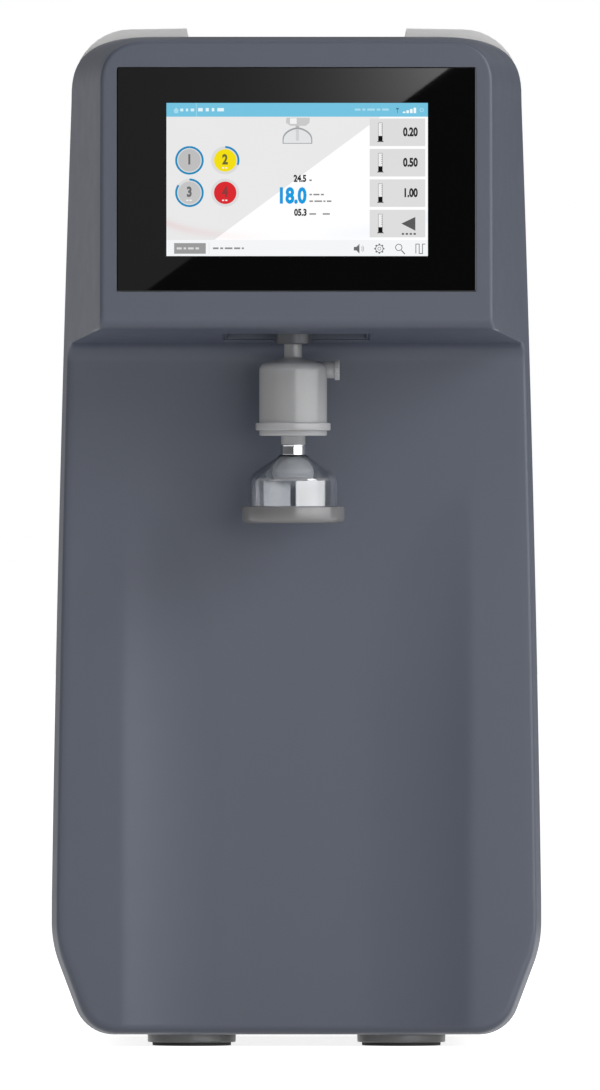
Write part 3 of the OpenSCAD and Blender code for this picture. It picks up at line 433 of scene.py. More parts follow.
NODE_FINISHES: dict[str, Finish] = {
    "front_shell": SLATE_ABS, "touch_glass": BLACK_GLASS, "glass_gasket": GASKET,
    "display_panel": DISPLAY_CAN, "control_board": PCB, "board_screws": SCREW,
    "nozzle_pocket": SLATE_POCKET, "nozzle_collar": COLLAR, "filter_capsule": CAPSULE,
    "capsule_membrane": MEMBRANE, "vent_knob": CAPSULE, "outlet_ring": CHROME, "dispense_bell": BELL,
    "bell_core": CORE, "bell_band": BAND, "dispense_valve": WHITE, "valve_coil": COIL,
    "valve_plunger": STAINLESS, "front_bulkhead": BLACK, "case_screws": SCREW, "base_tub": LIGHT_COVER,
    "centre_frame": CHASSIS, "top_panel": LIGHT_SHEET, "rear_panel": LIGHT_SHEET,
    "left_cover": LIGHT_COVER, "right_cover": LIGHT_COVER, "hinge_posts": SCREW, "cover_catches": BLACK,
    "foot_cups": CUP, "foot_pads": RUBBER, "foot_screws": SCREW, "cartridge_manifold": WHITE,
    "pretreatment_cartridge": BLUE_BODY, "polishing_cartridge": DEEP_BLUE, "uv_reactor": STAINLESS,
    "uv_caps": BLACK, "uv_lamp": LAMP_GLASS, "ultrafilter": FILTER_BODY, "pipe_clips": BLACK,
    "pump_head": BLACK, "pump_motor": MOTOR, "pump_rotor": STAINLESS, "pump_cradle": RUBBER,
    "resistivity_cell": STAINLESS, "flow_sensor": BLACK, "power_supply": CHASSIS, "main_board": PCB,
    "ribbon_cable": GREY_CABLE, "feed_tubes": TUBE, "loop_tubes": TUBE, "dispense_tubes": TUBE,
    "bulkhead_fittings": FITTING, "feed_collet": FEED_RING, "drain_collet": DRAIN_RING,
    "power_inlet": BLACK, "rocker_switch": ROCKER, "fuse_drawer": BLACK, "fan_frame": BLACK_FAN,
    "fan_rotor": BLACK_FAN, "fan_guard": WIRE,
}


# ---- Shapes -------------------------------------------------------------


def unit(vectors: Array) -> Array:
    """Vectors of length one, along the last axis."""
    size = np.linalg.norm(vectors, axis=-1, keepdims=True)
    return vectors / np.where(size > 0, size, 1)


def rounded(corners: list[tuple[float, float, float]], steps: int = 6) -> Array:
    """Rounds the corners of a closed polygon: each corner becomes an arc that touches both its sides.

    Args:
        corners: Two coordinates and a radius for each corner, with 0 for a sharp one.
        steps: Spans in each arc.

    Returns:
        Points of the rounded polygon, (n * (steps + 1), 2).
    """
    table = np.array(corners, float)
    points, radii = table[:, :2], table[:, 2:]
    u = unit(np.roll(points, 1, axis=0) - points)
    v = unit(np.roll(points, -1, axis=0) - points)
    half = np.arccos(np.clip((u * v).sum(1, keepdims=True), -1, 1)) / 2
    half = np.clip(half, 1e-4, math.pi / 2 - 1e-4)
    centre = points + unit(u + v) * radii / np.sin(half)
    first = points + u * radii / np.tan(half) - centre
    last = points + v * radii / np.tan(half) - centre
    sweep = (math.pi - 2 * half)[:, None]
    s = np.linspace(0, 1, steps + 1)[None, :, None]
    arc = (first[:, None] * np.sin((1 - s) * sweep) + last[:, None] * np.sin(s * sweep)) / np.sin(sweep)
    return (centre[:, None] + arc).reshape(-1, 2)


def grid_quads(rows: int, cols: int, wrap_rows: bool = False, wrap_cols: bool = False) -> Array:
    """Corner numbers of the cells of a grid, row by row.

    Args:
        rows: Points along the first parameter.
        cols: Points along the second.
        wrap_rows: Whether the last row joins the first.
        wrap_cols: Whether the last column joins the first.

    Returns:
        Quads, (cells, 4).
    """
    i = np.arange(rows if wrap_rows else rows - 1)[:, None]
    j = np.arange(cols if wrap_cols else cols - 1)[None, :]
    a = i * cols + j
    b = ((i + 1) % rows) * cols + j
    c = ((i + 1) % rows) * cols + (j + 1) % cols
    d = i * cols + (j + 1) % cols
    return np.stack([a, b, c, d], axis=-1).reshape(-1, 4)


def dress(mesh: bpy.types.Mesh, finish: Finish, crease: float, flat: float = 0.0) -> None:
    """Welds a mesh, turns its faces outwards, marks its sharp edges and gives it its finish.

    Args:
        mesh: The mesh, in metres.
        finish: Its finish.
        crease: Angle in degrees above which an edge stays sharp.
        flat: Angle in degrees below which neighbouring faces become one, or 0 to leave them.
    """
    work = bmesh.new()
    work.from_mesh(mesh)
    bmesh.ops.remove_doubles(work, verts=work.verts, dist=WELD_MM * MM)
    if flat:
        bmesh.ops.dissolve_limit(work, angle_limit=math.radians(flat), verts=work.verts, edges=work.edges)
    bmesh.ops.recalc_face_normals(work, faces=work.faces)
    work.to_mesh(mesh)
    work.free()
    mesh.shade_smooth()
    mesh.set_sharp_from_angle(angle=math.radians(crease))
    mesh.materials.clear()
    mesh.materials.append(finish.build())


@dataclass
class Piece:
    """One named piece of the dressed model, gathered from patches that are then welded together."""

    name: str
    finish: Finish
    body: str
    slot: str
    stands_for: tuple[str, ...] = ()
    points: list[Array] = field(default_factory=list)
    faces: list[list[int]] = field(default_factory=list)
    inks: list[Colour] = field(default_factory=list)
    count: int = 0

    def add(self, points: Array, faces: list[list[int]]) -> None:
        """Adds points (n, 3) in millimetres and faces that number them from 0."""
        self.points.append(np.asarray(points, float).reshape(-1, 3))
        self.faces += [[k + self.count for k in face] for face in faces]
        self.count += len(self.points[-1])

    def patch(self, grid: Array, keep: Array | None = None, wrap_rows: bool = False,
              wrap_cols: bool = False) -> None:
        """Adds a surface.

        Args:
            grid: Points, (rows, cols, 3).
            keep: Which cells are there, (cells,), or all of them.
            wrap_rows: Whether the last row joins the first.
            wrap_cols: Whether the last column joins the first.
        """
        quads = grid_quads(grid.shape[0], grid.shape[1], wrap_rows, wrap_cols)
        if keep is not None:
            quads = quads[keep.reshape(-1)]
        self.add(grid, quads.tolist())

    def polygon(self, points: Array) -> None:
        """Adds one flat face."""
        self.add(points, [list(range(len(points)))])

    def capped(self, grid: Array) -> None:
        """Adds rows of points, (rows, cols, 3), as a tube with a flat face at each end."""
        self.patch(grid, wrap_cols=True)
        self.polygon(grid[0])
        self.polygon(grid[-1])

    def lathe(self, profile: Array, start: Array, along: Array, steps: int = 96, closed: bool = True,
              flutes: Flutes | None = None) -> None:
        """Adds a turned shape: the profile carried round an axis.

        Flutes draw the radius in by depth * (1 + cos(count * angle)) / 2 over a stretch of the axis.

        Args:
            profile: Radius and place along the axis, (n, 2).
            start: The point on the axis that places are counted from.
            along: Direction of the axis.
            steps: Spans round the axis.
            closed: Whether the profile is a closed loop; an open one starts and ends on the axis.
            flutes: Count, depth, and where along the axis they begin and end.
        """
        turn = np.linspace(0, 2 * math.pi, steps, endpoint=False)[None, :]
        r, z = profile[:, :1], profile[:, 1:]
        if flutes:
            count, depth, low, high = flutes
            r = r - depth * (1 + np.cos(count * turn)) / 2 * ((z > low) & (z < high) & (r > 3 * depth))
        main = unit(along)
        side = np.eye(3)[(int(np.argmax(np.abs(main))) + 1) % 3]
        side = unit(side - main * (side @ main))
        rise = np.cross(main, side)
        grid = (start + (z + 0 * turn)[..., None] * main + (r * np.cos(turn))[..., None] * side
                + (r * np.sin(turn))[..., None] * rise)
        self.patch(grid, wrap_rows=closed, wrap_cols=True)

    def spin(self, profile: Array, centre: Spot, axis: Axis = Axis.Z, steps: int = 96,
             closed: bool = True, flutes: Flutes | None = None) -> None:
        """Adds a shape turned round a main axis through centre, as lathe does."""
        self.lathe(profile, np.array(centre, float), np.eye(3)[axis.value], steps, closed, flutes)

    def screw(self, seat: Spot, facing: int, axis: Axis, head: Pair,
              shank: Pair) -> None:
        """Adds a pan-head screw; its recess is a hexagon, whose radius is apothem / cos(angle off a flat).

        Args:
            seat: Point on the axis, in the plane that the head bears on.
            facing: 1 where the head looks along the axis, -1 where it looks against it.
            axis: The screw's axis.
            head: Radius and height of the head.
            shank: Radius and length of the shank.
        """
        (big, tall), (thin, deep) = head, shank
        rows = np.array([
            (0, -deep), (thin * 0.7, -deep), (thin, -deep * 0.96), (thin, 0), (big * 0.97, 0),
            (big, tall * 0.12), (big, tall * 0.45), (big * 0.94, tall * 0.75), (big * 0.8, tall * 0.94),
            (big * 0.62, tall), (big * 0.47, tall), (big * 0.47, tall * 0.4), (0, tall * 0.34)])
        first_of_recess = 10
        turn = np.linspace(0, 2 * math.pi, 48, endpoint=False)
        flat = 1 / np.cos((turn + math.pi / 6) % (math.pi / 3) - math.pi / 6)
        shape = np.where((np.arange(len(rows)) >= first_of_recess)[:, None], flat[None, :], 1.0)
        r = rows[:, :1] * shape
        main = np.eye(3)[axis.value] * facing
        side, rise = np.eye(3)[(axis.value + 1) % 3], np.eye(3)[(axis.value + 2) % 3]
        grid = (np.array(seat, float) + rows[:, 1][:, None, None] * main
                + (r * np.cos(turn))[..., None] * side + (r * np.sin(turn))[..., None] * rise)
        self.patch(grid, wrap_cols=True)

    def slab(self, low: Spot, high: Spot, corner: float, edge: float, axis: Axis = Axis.Y,
             steps: int = 6) -> None:
        """Adds a plate with rounded corners and rounded edges.

        Each level of the plate is the outline drawn in by 1 - sin of the edge's arc, so that all levels
        share the centres of their corner arcs. A last ring on each face keeps the face's shading flat.

        Args:
            low: Lowest corner.
            high: Highest corner.
            corner: Radius of the four corners, seen along the axis.
            edge: Radius of the rounded edges.
            axis: The axis that the plate is thin along.
            steps: Spans in each corner arc.
        """
        k = axis.value
        u, v = [(1, 2), (2, 0), (0, 1)][k]
        low_a, high_a = np.array(low, float), np.array(high, float)
        mid, half = (low_a + high_a) / 2, (high_a - low_a) / 2
        t = np.arange(4 * (steps + 1))
        quarter = t // (steps + 1)
        angle = quarter * math.pi / 2 + (t % (steps + 1)) / steps * math.pi / 2
        sign_u = np.array([1, -1, -1, 1])[quarter]
        sign_v = np.array([1, 1, -1, -1])[quarter]
        arc = np.linspace(0, math.pi / 2, 4)
        ease = edge + min(0.5 * (corner - edge), 0.4)
        inset = np.concatenate([[ease], edge * (1 - np.sin(arc)), edge * (1 - np.sin(arc[::-1])), [ease]])
        level = np.concatenate([[-half[k]], -half[k] + edge * (1 - np.cos(arc)),
                                half[k] - edge * (1 - np.cos(arc[::-1])), [half[k]]])
        grid = np.zeros((len(inset), len(t), 3))
        reach = np.maximum(corner - inset, 0.001)[:, None]
        grid[..., u] = mid[u] + sign_u * (half[u] - corner) + reach * np.cos(angle)
        grid[..., v] = mid[v] + sign_v * (half[v] - corner) + reach * np.sin(angle)
        grid[..., k] = mid[k] + level[:, None]
        self.capped(grid)

    def tube(self, path: Array, radius: float, steps: int = 14) -> None:
        """Adds a round bar: a circle carried along a path, its ends closed.

        Args:
            path: Points on the centre line, (n, 3).
            radius: Radius of the bar.
            steps: Spans round it.
        """
        along = unit(np.gradient(path, axis=0))
        off_every_path = np.array([0.31, 0.52, 0.79])
        side = unit(np.cross(along, off_every_path))
        rise = np.cross(along, side)
        turn = np.linspace(0, 2 * math.pi, steps, endpoint=False)[None, :, None]
        grid = path[:, None] + radius * (side[:, None] * np.cos(turn) + rise[:, None] * np.sin(turn))
        self.capped(grid)

    def make(self, crease: float = 35.0) -> None:
        """Welds the patches and puts the piece on its body.

        Args:
            crease: Angle in degrees above which an edge stays sharp.
        """
        mesh = bpy.data.meshes.new(self.name)
        mesh.from_pydata((np.concatenate(self.points) * MM).tolist(), [], self.faces)
        if self.inks:
            layer = mesh.color_attributes.new("ink", "FLOAT_COLOR", "CORNER")
            inks = np.repeat(np.array(self.inks), [len(face) for face in self.faces], axis=0)
            layer.data.foreach_set("color", inks.astype(np.float32).ravel())
        dress(mesh, self.finish, crease)
        piece = put(self.name, mesh)
        if self.stands_for:
            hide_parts(*self.stands_for)
        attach(piece, self.body)
        LOG.info("piece %s: %d faces on %s", self.name, len(mesh.polygons), self.body)


@dataclass
class Kit:
    """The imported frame's CAD nodes, and the record's material slot for each of them."""

    nodes: dict[str, bpy.types.Object]
    slots: dict[str, str]

    def piece(self, name: str, node: str) -> Piece:
        """Starts a piece that stands for one node, with that node's finish, body and slot."""
        return Piece(name, NODE_FINISHES[node], self.nodes[node]["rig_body"], self.slots[node], (node,))

    def turned(self, node: str, name: str, profile: Array, centre: Spot, axis: Axis = Axis.Z,
               steps: int = 96, closed: bool = True, flutes: Flutes | None = None) -> None:
        """Makes a piece that is a single turned shape; the arguments after name are those of spin."""
        piece = self.piece(name, node)
        piece.spin(profile, centre, axis, steps, closed, flutes)
        piece.make()

    def refined(self, *rows: tuple[str, str, float]) -> None:
        """Gives nodes' own shapes the small edge rounds that moulding or folding leaves.

        Args:
            rows: For each, the CAD node, the name of its piece and the width of its rounds in millimetres.
        """
        for node, name, width in rows:
            self.refine(node, name, width)

    def refine(self, node: str, name: str, width: float) -> None:
        """Merges a copy of a node's mesh, joins faces in one plane, and bevels each sharp edge."""
        mesh = self.nodes[node].data.copy()
        mesh.name = name
        dress(mesh, NODE_FINISHES[node], 35.0, 0.5)
        piece = put(name, mesh)
        bevel = piece.modifiers.new("edge rounds", "BEVEL")
        bevel.width, bevel.segments = width * MM, 2
        bevel.limit_method, bevel.angle_limit = "ANGLE", math.radians(40)
        bevel.harden_normals = True
        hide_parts(node)
        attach(piece, self.nodes[node]["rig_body"])
        LOG.info("piece %s: %s with %.1f mm rounds", name, node, width)


# ---- Front shell ---------------------------------------------------------


@dataclass
class FrontShell:
    """Slate moulding with the overhanging head and the dished lower front.

    base, widest, top and the three face places are corners (x, z) of the rear and front outlines.
    foot_rounds are the radii at the first two. glass, window and slot are half a width and a span.
    """

    kit: Kit
    face_y: float = -240.0
    front_y: float = -141.0
    seam_y: float = -128.0
    base: Pair = (125.0, 7.0)
    widest: Pair = (145.6, 62.0)
    top: Pair = (132.6, 599.1)
    face_base: Pair = (100.0, 16.0)
    face_low: Pair = (116.4, 62.0)
    face_high: Pair = (115.4, 594.8)
    under_front: float = 424.8
    under_slope: float = 0.0838
    under_round: float = 12.0
    head_round: float = 7.0
    recess_depth: float = 7.0
    recess_half: float = 102.0
    recess_top: float = 372.0
    recess_full: float = 146.0
    recess_soft: float = 0.11
    wall: float = 3.5
    edge_round: float = 2.0
    foot_round: float = 5.0
    side_bow: float = 1.3
    glass: tuple[float, float, float] = (105.95, 446.75, 579.15)
    window: tuple[float, float, float] = (85.0, 460.95, 564.95)
    slot: tuple[float, float, float] = (43.7, -208.7, -160.3)
    lip: float = 0.7
    foot_rounds: Pair = (24.0, 70.0)
    foot_rows: int = 22
    nominal: float = 112.5
    seat_depth: float = 2.4

    def side_x(self, z: Array, low: Pair, top: Pair) -> Array:
        """Half width of a straight side at height z."""
        return low[0] + (top[0] - low[0]) * (z - low[1]) / (top[1] - low[1])

    def under(self, y: Array, w: float) -> Array:
        """Height of the head's underside at depth y, inset by w: a line that falls towards the back."""
        across = w * math.sqrt(1 + self.under_slope**2)
        return self.under_front - self.under_slope * (y - self.face_y) + across

    def profile(self, w: float) -> Array:
        """Front profile (y, z) between base and top corner, inset by w, with both fillets of the head.

        The fillets are arcs tangent to the lower front, to the falling underside and to the face.
        """
        foot = (self.front_y + w, 80.0)
        inner = (self.front_y + w, self.under(self.front_y + w, w))
        outer = (self.face_y + w, self.under(self.face_y + w, w))
        head = (self.face_y + w, 560.0)
        arcs = rounded([(*foot, 0), (*inner, self.under_round + w), (*outer, self.head_round - w),
                        (*head, 0)], 10).reshape(4, 11, 2)
        cuts = np.array([self.slot[1], self.slot[2]])
        flat_y = np.sort(np.concatenate([np.linspace(arcs[1, -1, 0], arcs[2, 0, 0], 8)[1:-1], cuts]))[::-1]
        flat = np.stack([flat_y, self.under(flat_y, w)], axis=1)
        low = np.linspace(88, 384, 34)
        high = np.array([440.0, self.glass[1], self.window[1], 480, 500, 520, 540, self.window[2]])
        return np.concatenate([
            np.stack([np.full_like(low, self.front_y + w), low], axis=1),
            arcs[1], flat, arcs[2],
            np.stack([np.full_like(high, self.face_y + w), high], axis=1)])

    def outline(self, base: Pair, low: Pair, top: Pair,
                reach: tuple[float, float, float], w: float, bow: float = 0.0) -> Array:
        """Right half of an outline (x, z) from the bottom to the top, inset by w.

        Two arcs at the foot, a side at the rows of the profile that bellies out by 4 bow s (1 - s), and a
        superelliptic corner x = a cos^(2/p), z = b sin^(2/p).
        """
        base_in = (base[0] - 0.7 * w, base[1] + w)
        low_in = (low[0] - w, low[1])
        top_in = (top[0] - w, top[1] - w)
        small, large = self.foot_rounds
        foot = rounded([(0, base_in[1], 0), (*base_in, small - w), (*low_in, large - w),
                        (*top_in, 0)], 10).reshape(4, 11, 2)[1:3].reshape(-1, 2)
        rows = self.profile(w)[:, 1]
        a, b, power = reach
        s = (rows - low[1]) / (top[1] - b - low[1])
        side = np.stack([self.side_x(rows, low_in, top_in) + 4 * bow * s * (1 - s), rows], axis=1)
        shoulder = self.side_x(top_in[1] - b + w, low_in, top_in)
        t = np.radians(90 * np.linspace(0, 1, 26) ** 0.9)
        corner = np.stack([shoulder - (a - w) + (a - w) * np.cos(t) ** (2 / power),
                           top_in[1] - (b - w) + (b - w) * np.sin(t) ** (2 / power)], axis=1)
        return np.concatenate([foot, side, corner])

    def recess(self, x: Array, z: Array) -> Array:
        """Depth of the dish: it deepens downwards by a smooth step and fades to nothing at its sides.

        Across, the depth follows 1 - (x / half)^4, and a square-root blend rounds the crease at its edge.
        """
        t = np.clip((self.recess_top - z) / (self.recess_top - self.recess_full), 0, 1)
        past_crease = 16
        across = 1 - (np.abs(x) / self.recess_half) ** 4
        soft = (across + np.sqrt(across**2 + self.recess_soft**2)) / 2
        faded = np.where(np.abs(x) > self.recess_half + past_crease, 0, soft)
        return self.recess_depth * t * t * (3 - 2 * t) * faded

    def columns(self) -> Array:
        """Places across the front, in millimetres where it is as wide as the nominal half on each side."""
        inner = np.array([0, 8, 16, 24, 32, 38, 43.7, 48, 54, 60, 66, 72, 78, 85, 88, 91, 94, 96.5, 99,
                          101, 103, 104.5, self.glass[0]])
        share = np.array([0.03, 0.07, 0.12, 0.19, 0.28, 0.4, 0.52, 0.64, 0.76, 0.88, 1.0])
        half = np.concatenate([inner, self.glass[0] + (self.nominal - self.glass[0]) * share])
        return np.concatenate([-half[:0:-1], half])

    def spread(self, reach: Array) -> Array:
        """Columns for rows whose edge lies at reach: fixed ones up to the glass, then shared out."""
        cols = self.columns()[None, :]
        edge = reach[:, None]
        size = np.abs(cols)
        fixed = self.glass[0]
        share = (size - fixed) / (self.nominal - fixed)
        wide = np.where(size <= fixed, size, fixed + share * (edge - fixed))
        narrow = size * edge / self.nominal
        return np.sign(cols) * np.where(edge >= self.nominal, wide, narrow)

    def loops(self, w: float) -> dict[str, Array]:
        """Rows of the edge of the front and of the rear rim, both inset by w.

        Returns:
            "edge": (rows, 3) right edge of the front; "rear": (rows, 2) outline at the seam;
            "inward": (rows, 2) unit direction into the front, as x and z.
        """
        rear = self.outline(self.base, self.widest, self.top, (58.0, 40.0, 3.1), w, self.side_bow)
        face = self.outline(self.face_base, self.face_low, self.face_high, (32.0, 27.0, 2.6), w)
        mid = self.profile(w)
        feet = self.foot_rows
        y = np.full(len(rear), self.face_y + w)
        y[:feet] = self.front_y + w
        y[feet:feet + len(mid)] = mid[:, 0]
        t = (y - self.face_y) / (self.seam_y - self.face_y)
        edge = face + (rear - face) * t[:, None]
        slope = np.gradient(edge, axis=0)
        inward = unit(np.stack([-slope[:, 1], slope[:, 0]], axis=1))
        inward[0] = (0, 1)
        inward[-1] = (0, -1)
        inward[feet:feet + len(mid)] = (-1, 0)
        return {"edge": np.stack([edge[:, 0], y, edge[:, 1]], axis=1), "rear": rear, "inward": inward}

    def border(self, rows: int, cols: int) -> tuple[Array, Array]:
        """Row and column numbers round the front, from the lower left, along the foot first."""
        i, j = np.divmod(np.arange(rows * cols).reshape(rows, cols), cols)
        return tuple(np.concatenate([k[0], k[1:, -1], k[-1, -2::-1], k[-2:0:-1, 0]]) for k in (i, j))

    def front(self, loops: dict[str, Array], reach: Array, w: float) -> Array:
        """Grid of the front surface, each row drawn in from the edge by its share of reach.

        The row nearest to the top of the glass is bent to run along it and back to its own height at
        the edge of the front.
        """
        edge, inward = loops["edge"], loops["inward"]
        x_end = edge[:, 0] + inward[:, 0] * reach
        z = edge[:, 2] + inward[:, 1] * reach
        x = self.spread(x_end)
        z = np.repeat(z[:, None], x.shape[1], axis=1)
        row = int(np.argmin(np.abs(z[:, 0] - self.glass[2])))
        fade = np.clip((x_end[row] - np.abs(x[row])) / (x_end[row] - self.glass[0]), 0, 1)
        z[row] += (self.glass[2] - z[row]) * fade
        y = np.repeat(edge[:, 1][:, None], x.shape[1], axis=1) + self.recess(x, z)
        return np.stack([x, y, z], axis=-1)

    def ring(self, grid: Array, box: Cells) -> Array:
        """Points of a grid round a rectangle of cells, given as first and last row and column."""
        r0, r1, c0, c1 = box
        return np.concatenate([grid[r0, c0:c1], grid[r0:r1, c1], grid[r1, c1:c0:-1], grid[r1:r0:-1, c0]])

    def cells(self, grid: Array, opening: Spot, axis: int) -> Cells:
        """Rows and columns of the cells of an opening: half a width, and a span along axis 1 or 2."""
        x, *span = opening
        middle = grid[:, grid.shape[1] // 2, axis]
        row = np.arange(len(middle))
        body = (row > self.foot_rows) & (row < len(middle) - 3)
        off = np.where(body, np.abs(middle - np.array(span)[:, None]), 1e9)
        r0, r1 = sorted(int(row) for row in off.argmin(axis=1))
        across = grid[(r0 + r1) // 2, :, 0]
        return r0, r1, int(np.argmin(np.abs(across + x))), int(np.argmin(np.abs(across - x)))

    def without(self, grid: Array, *boxes: Cells) -> Array:
        """Cells of a grid that lie in none of the rectangles."""
        keep = np.ones((grid.shape[0] - 1, grid.shape[1] - 1), bool)
        for r0, r1, c0, c1 in boxes:
            keep[r0:r1, c0:c1] = False
        return keep

    def build(self) -> None:
        """Makes the shell: outer skin with rounded edges, inner skin, rims, glass seat and nozzle slot."""
        piece = self.kit.piece("slate_front_shell", "front_shell")
        outer, inner = self.loops(0.0), self.loops(self.wall)
        rows = len(outer["rear"])
        low = np.clip((np.arange(rows) - 2) / 16.0, 0, 1)
        radius = self.foot_round + (self.edge_round - self.foot_round) * low
        grid = self.front(outer, radius, 0.0)
        back = self.front(inner, np.zeros(rows), self.wall)
        i, j = self.border(rows, grid.shape[1])
        share = self.columns()[j] / self.nominal
        start = grid[i, j]
        corner = self.front(outer, np.zeros(rows), 0.0)[i, j]
        flat_row = (i == 0) | (i == rows - 1)
        corner[flat_row, 0] = start[flat_row, 0]
        rim, rim_in = (np.stack([share * side["rear"][i, 0], np.full(len(i), self.seam_y),
                                 side["rear"][i, 1]], axis=1) for side in (outer, inner))
        away = unit(rim - corner)
        reach = radius[i][:, None]
        s = np.linspace(0, 1, 6)[:, None, None]
        # Rounded edge: a parabola arc from the front, tangent to it, to the side, tangent to that
        end = corner + away * reach
        arc = start * (1 - s) ** 2 + corner * 2 * s * (1 - s) + end * s**2
        t = np.linspace(0, 1, 7)[1:, None, None]
        side = end + (rim - end) * t
        piece.patch(grid, self.without(grid, self.cells(grid, self.glass, 2),
                                       self.cells(grid, self.slot, 1)))
        piece.patch(np.concatenate([arc, side]), wrap_cols=True)
        piece.patch(np.stack([rim, rim_in]), wrap_cols=True)
        piece.patch(np.stack([rim_in, back[i, j]]), wrap_cols=True)
        piece.patch(back, self.without(back, self.cells(back, self.window, 2),
                                       self.cells(back, self.slot, 1)))
        self.seat(piece, grid, back)
        piece.make(crease=40)

    def seat(self, piece: Piece, grid: Array, back: Array) -> None:
        """Adds the ledge that the glass lies on, the window behind it and the walls of the nozzle slot."""
        glass, window = self.cells(grid, self.glass, 2), self.cells(grid, self.window, 2)
        slot = self.cells(grid, self.slot, 1)
        ledge = grid.copy()
        ledge[..., 1] = self.face_y + self.seat_depth
        inside = ~self.without(grid, glass) & self.without(grid, window)
        piece.patch(ledge, inside)
        piece.patch(np.stack([self.ring(grid, glass), self.ring(ledge, glass)]), wrap_cols=True)
        piece.patch(np.stack([self.ring(ledge, window), self.ring(back, window)]), wrap_cols=True)
        rim = self.ring(grid, slot)
        step = np.array([0.0, (self.slot[1] + self.slot[2]) / 2, 0.0])
        half = np.array([self.slot[0], (self.slot[2] - self.slot[1]) / 2, 1.0])
        bevel = step + (rim - step) * (1 - np.array([self.lip, self.lip, 0.0]) / half) + (0, 0, self.lip)
        piece.patch(np.stack([rim, bevel]), wrap_cols=True)
        piece.patch(np.stack([bevel, self.ring(back, slot)]), wrap_cols=True)


# ---- Screen -------------------------------------------------------------


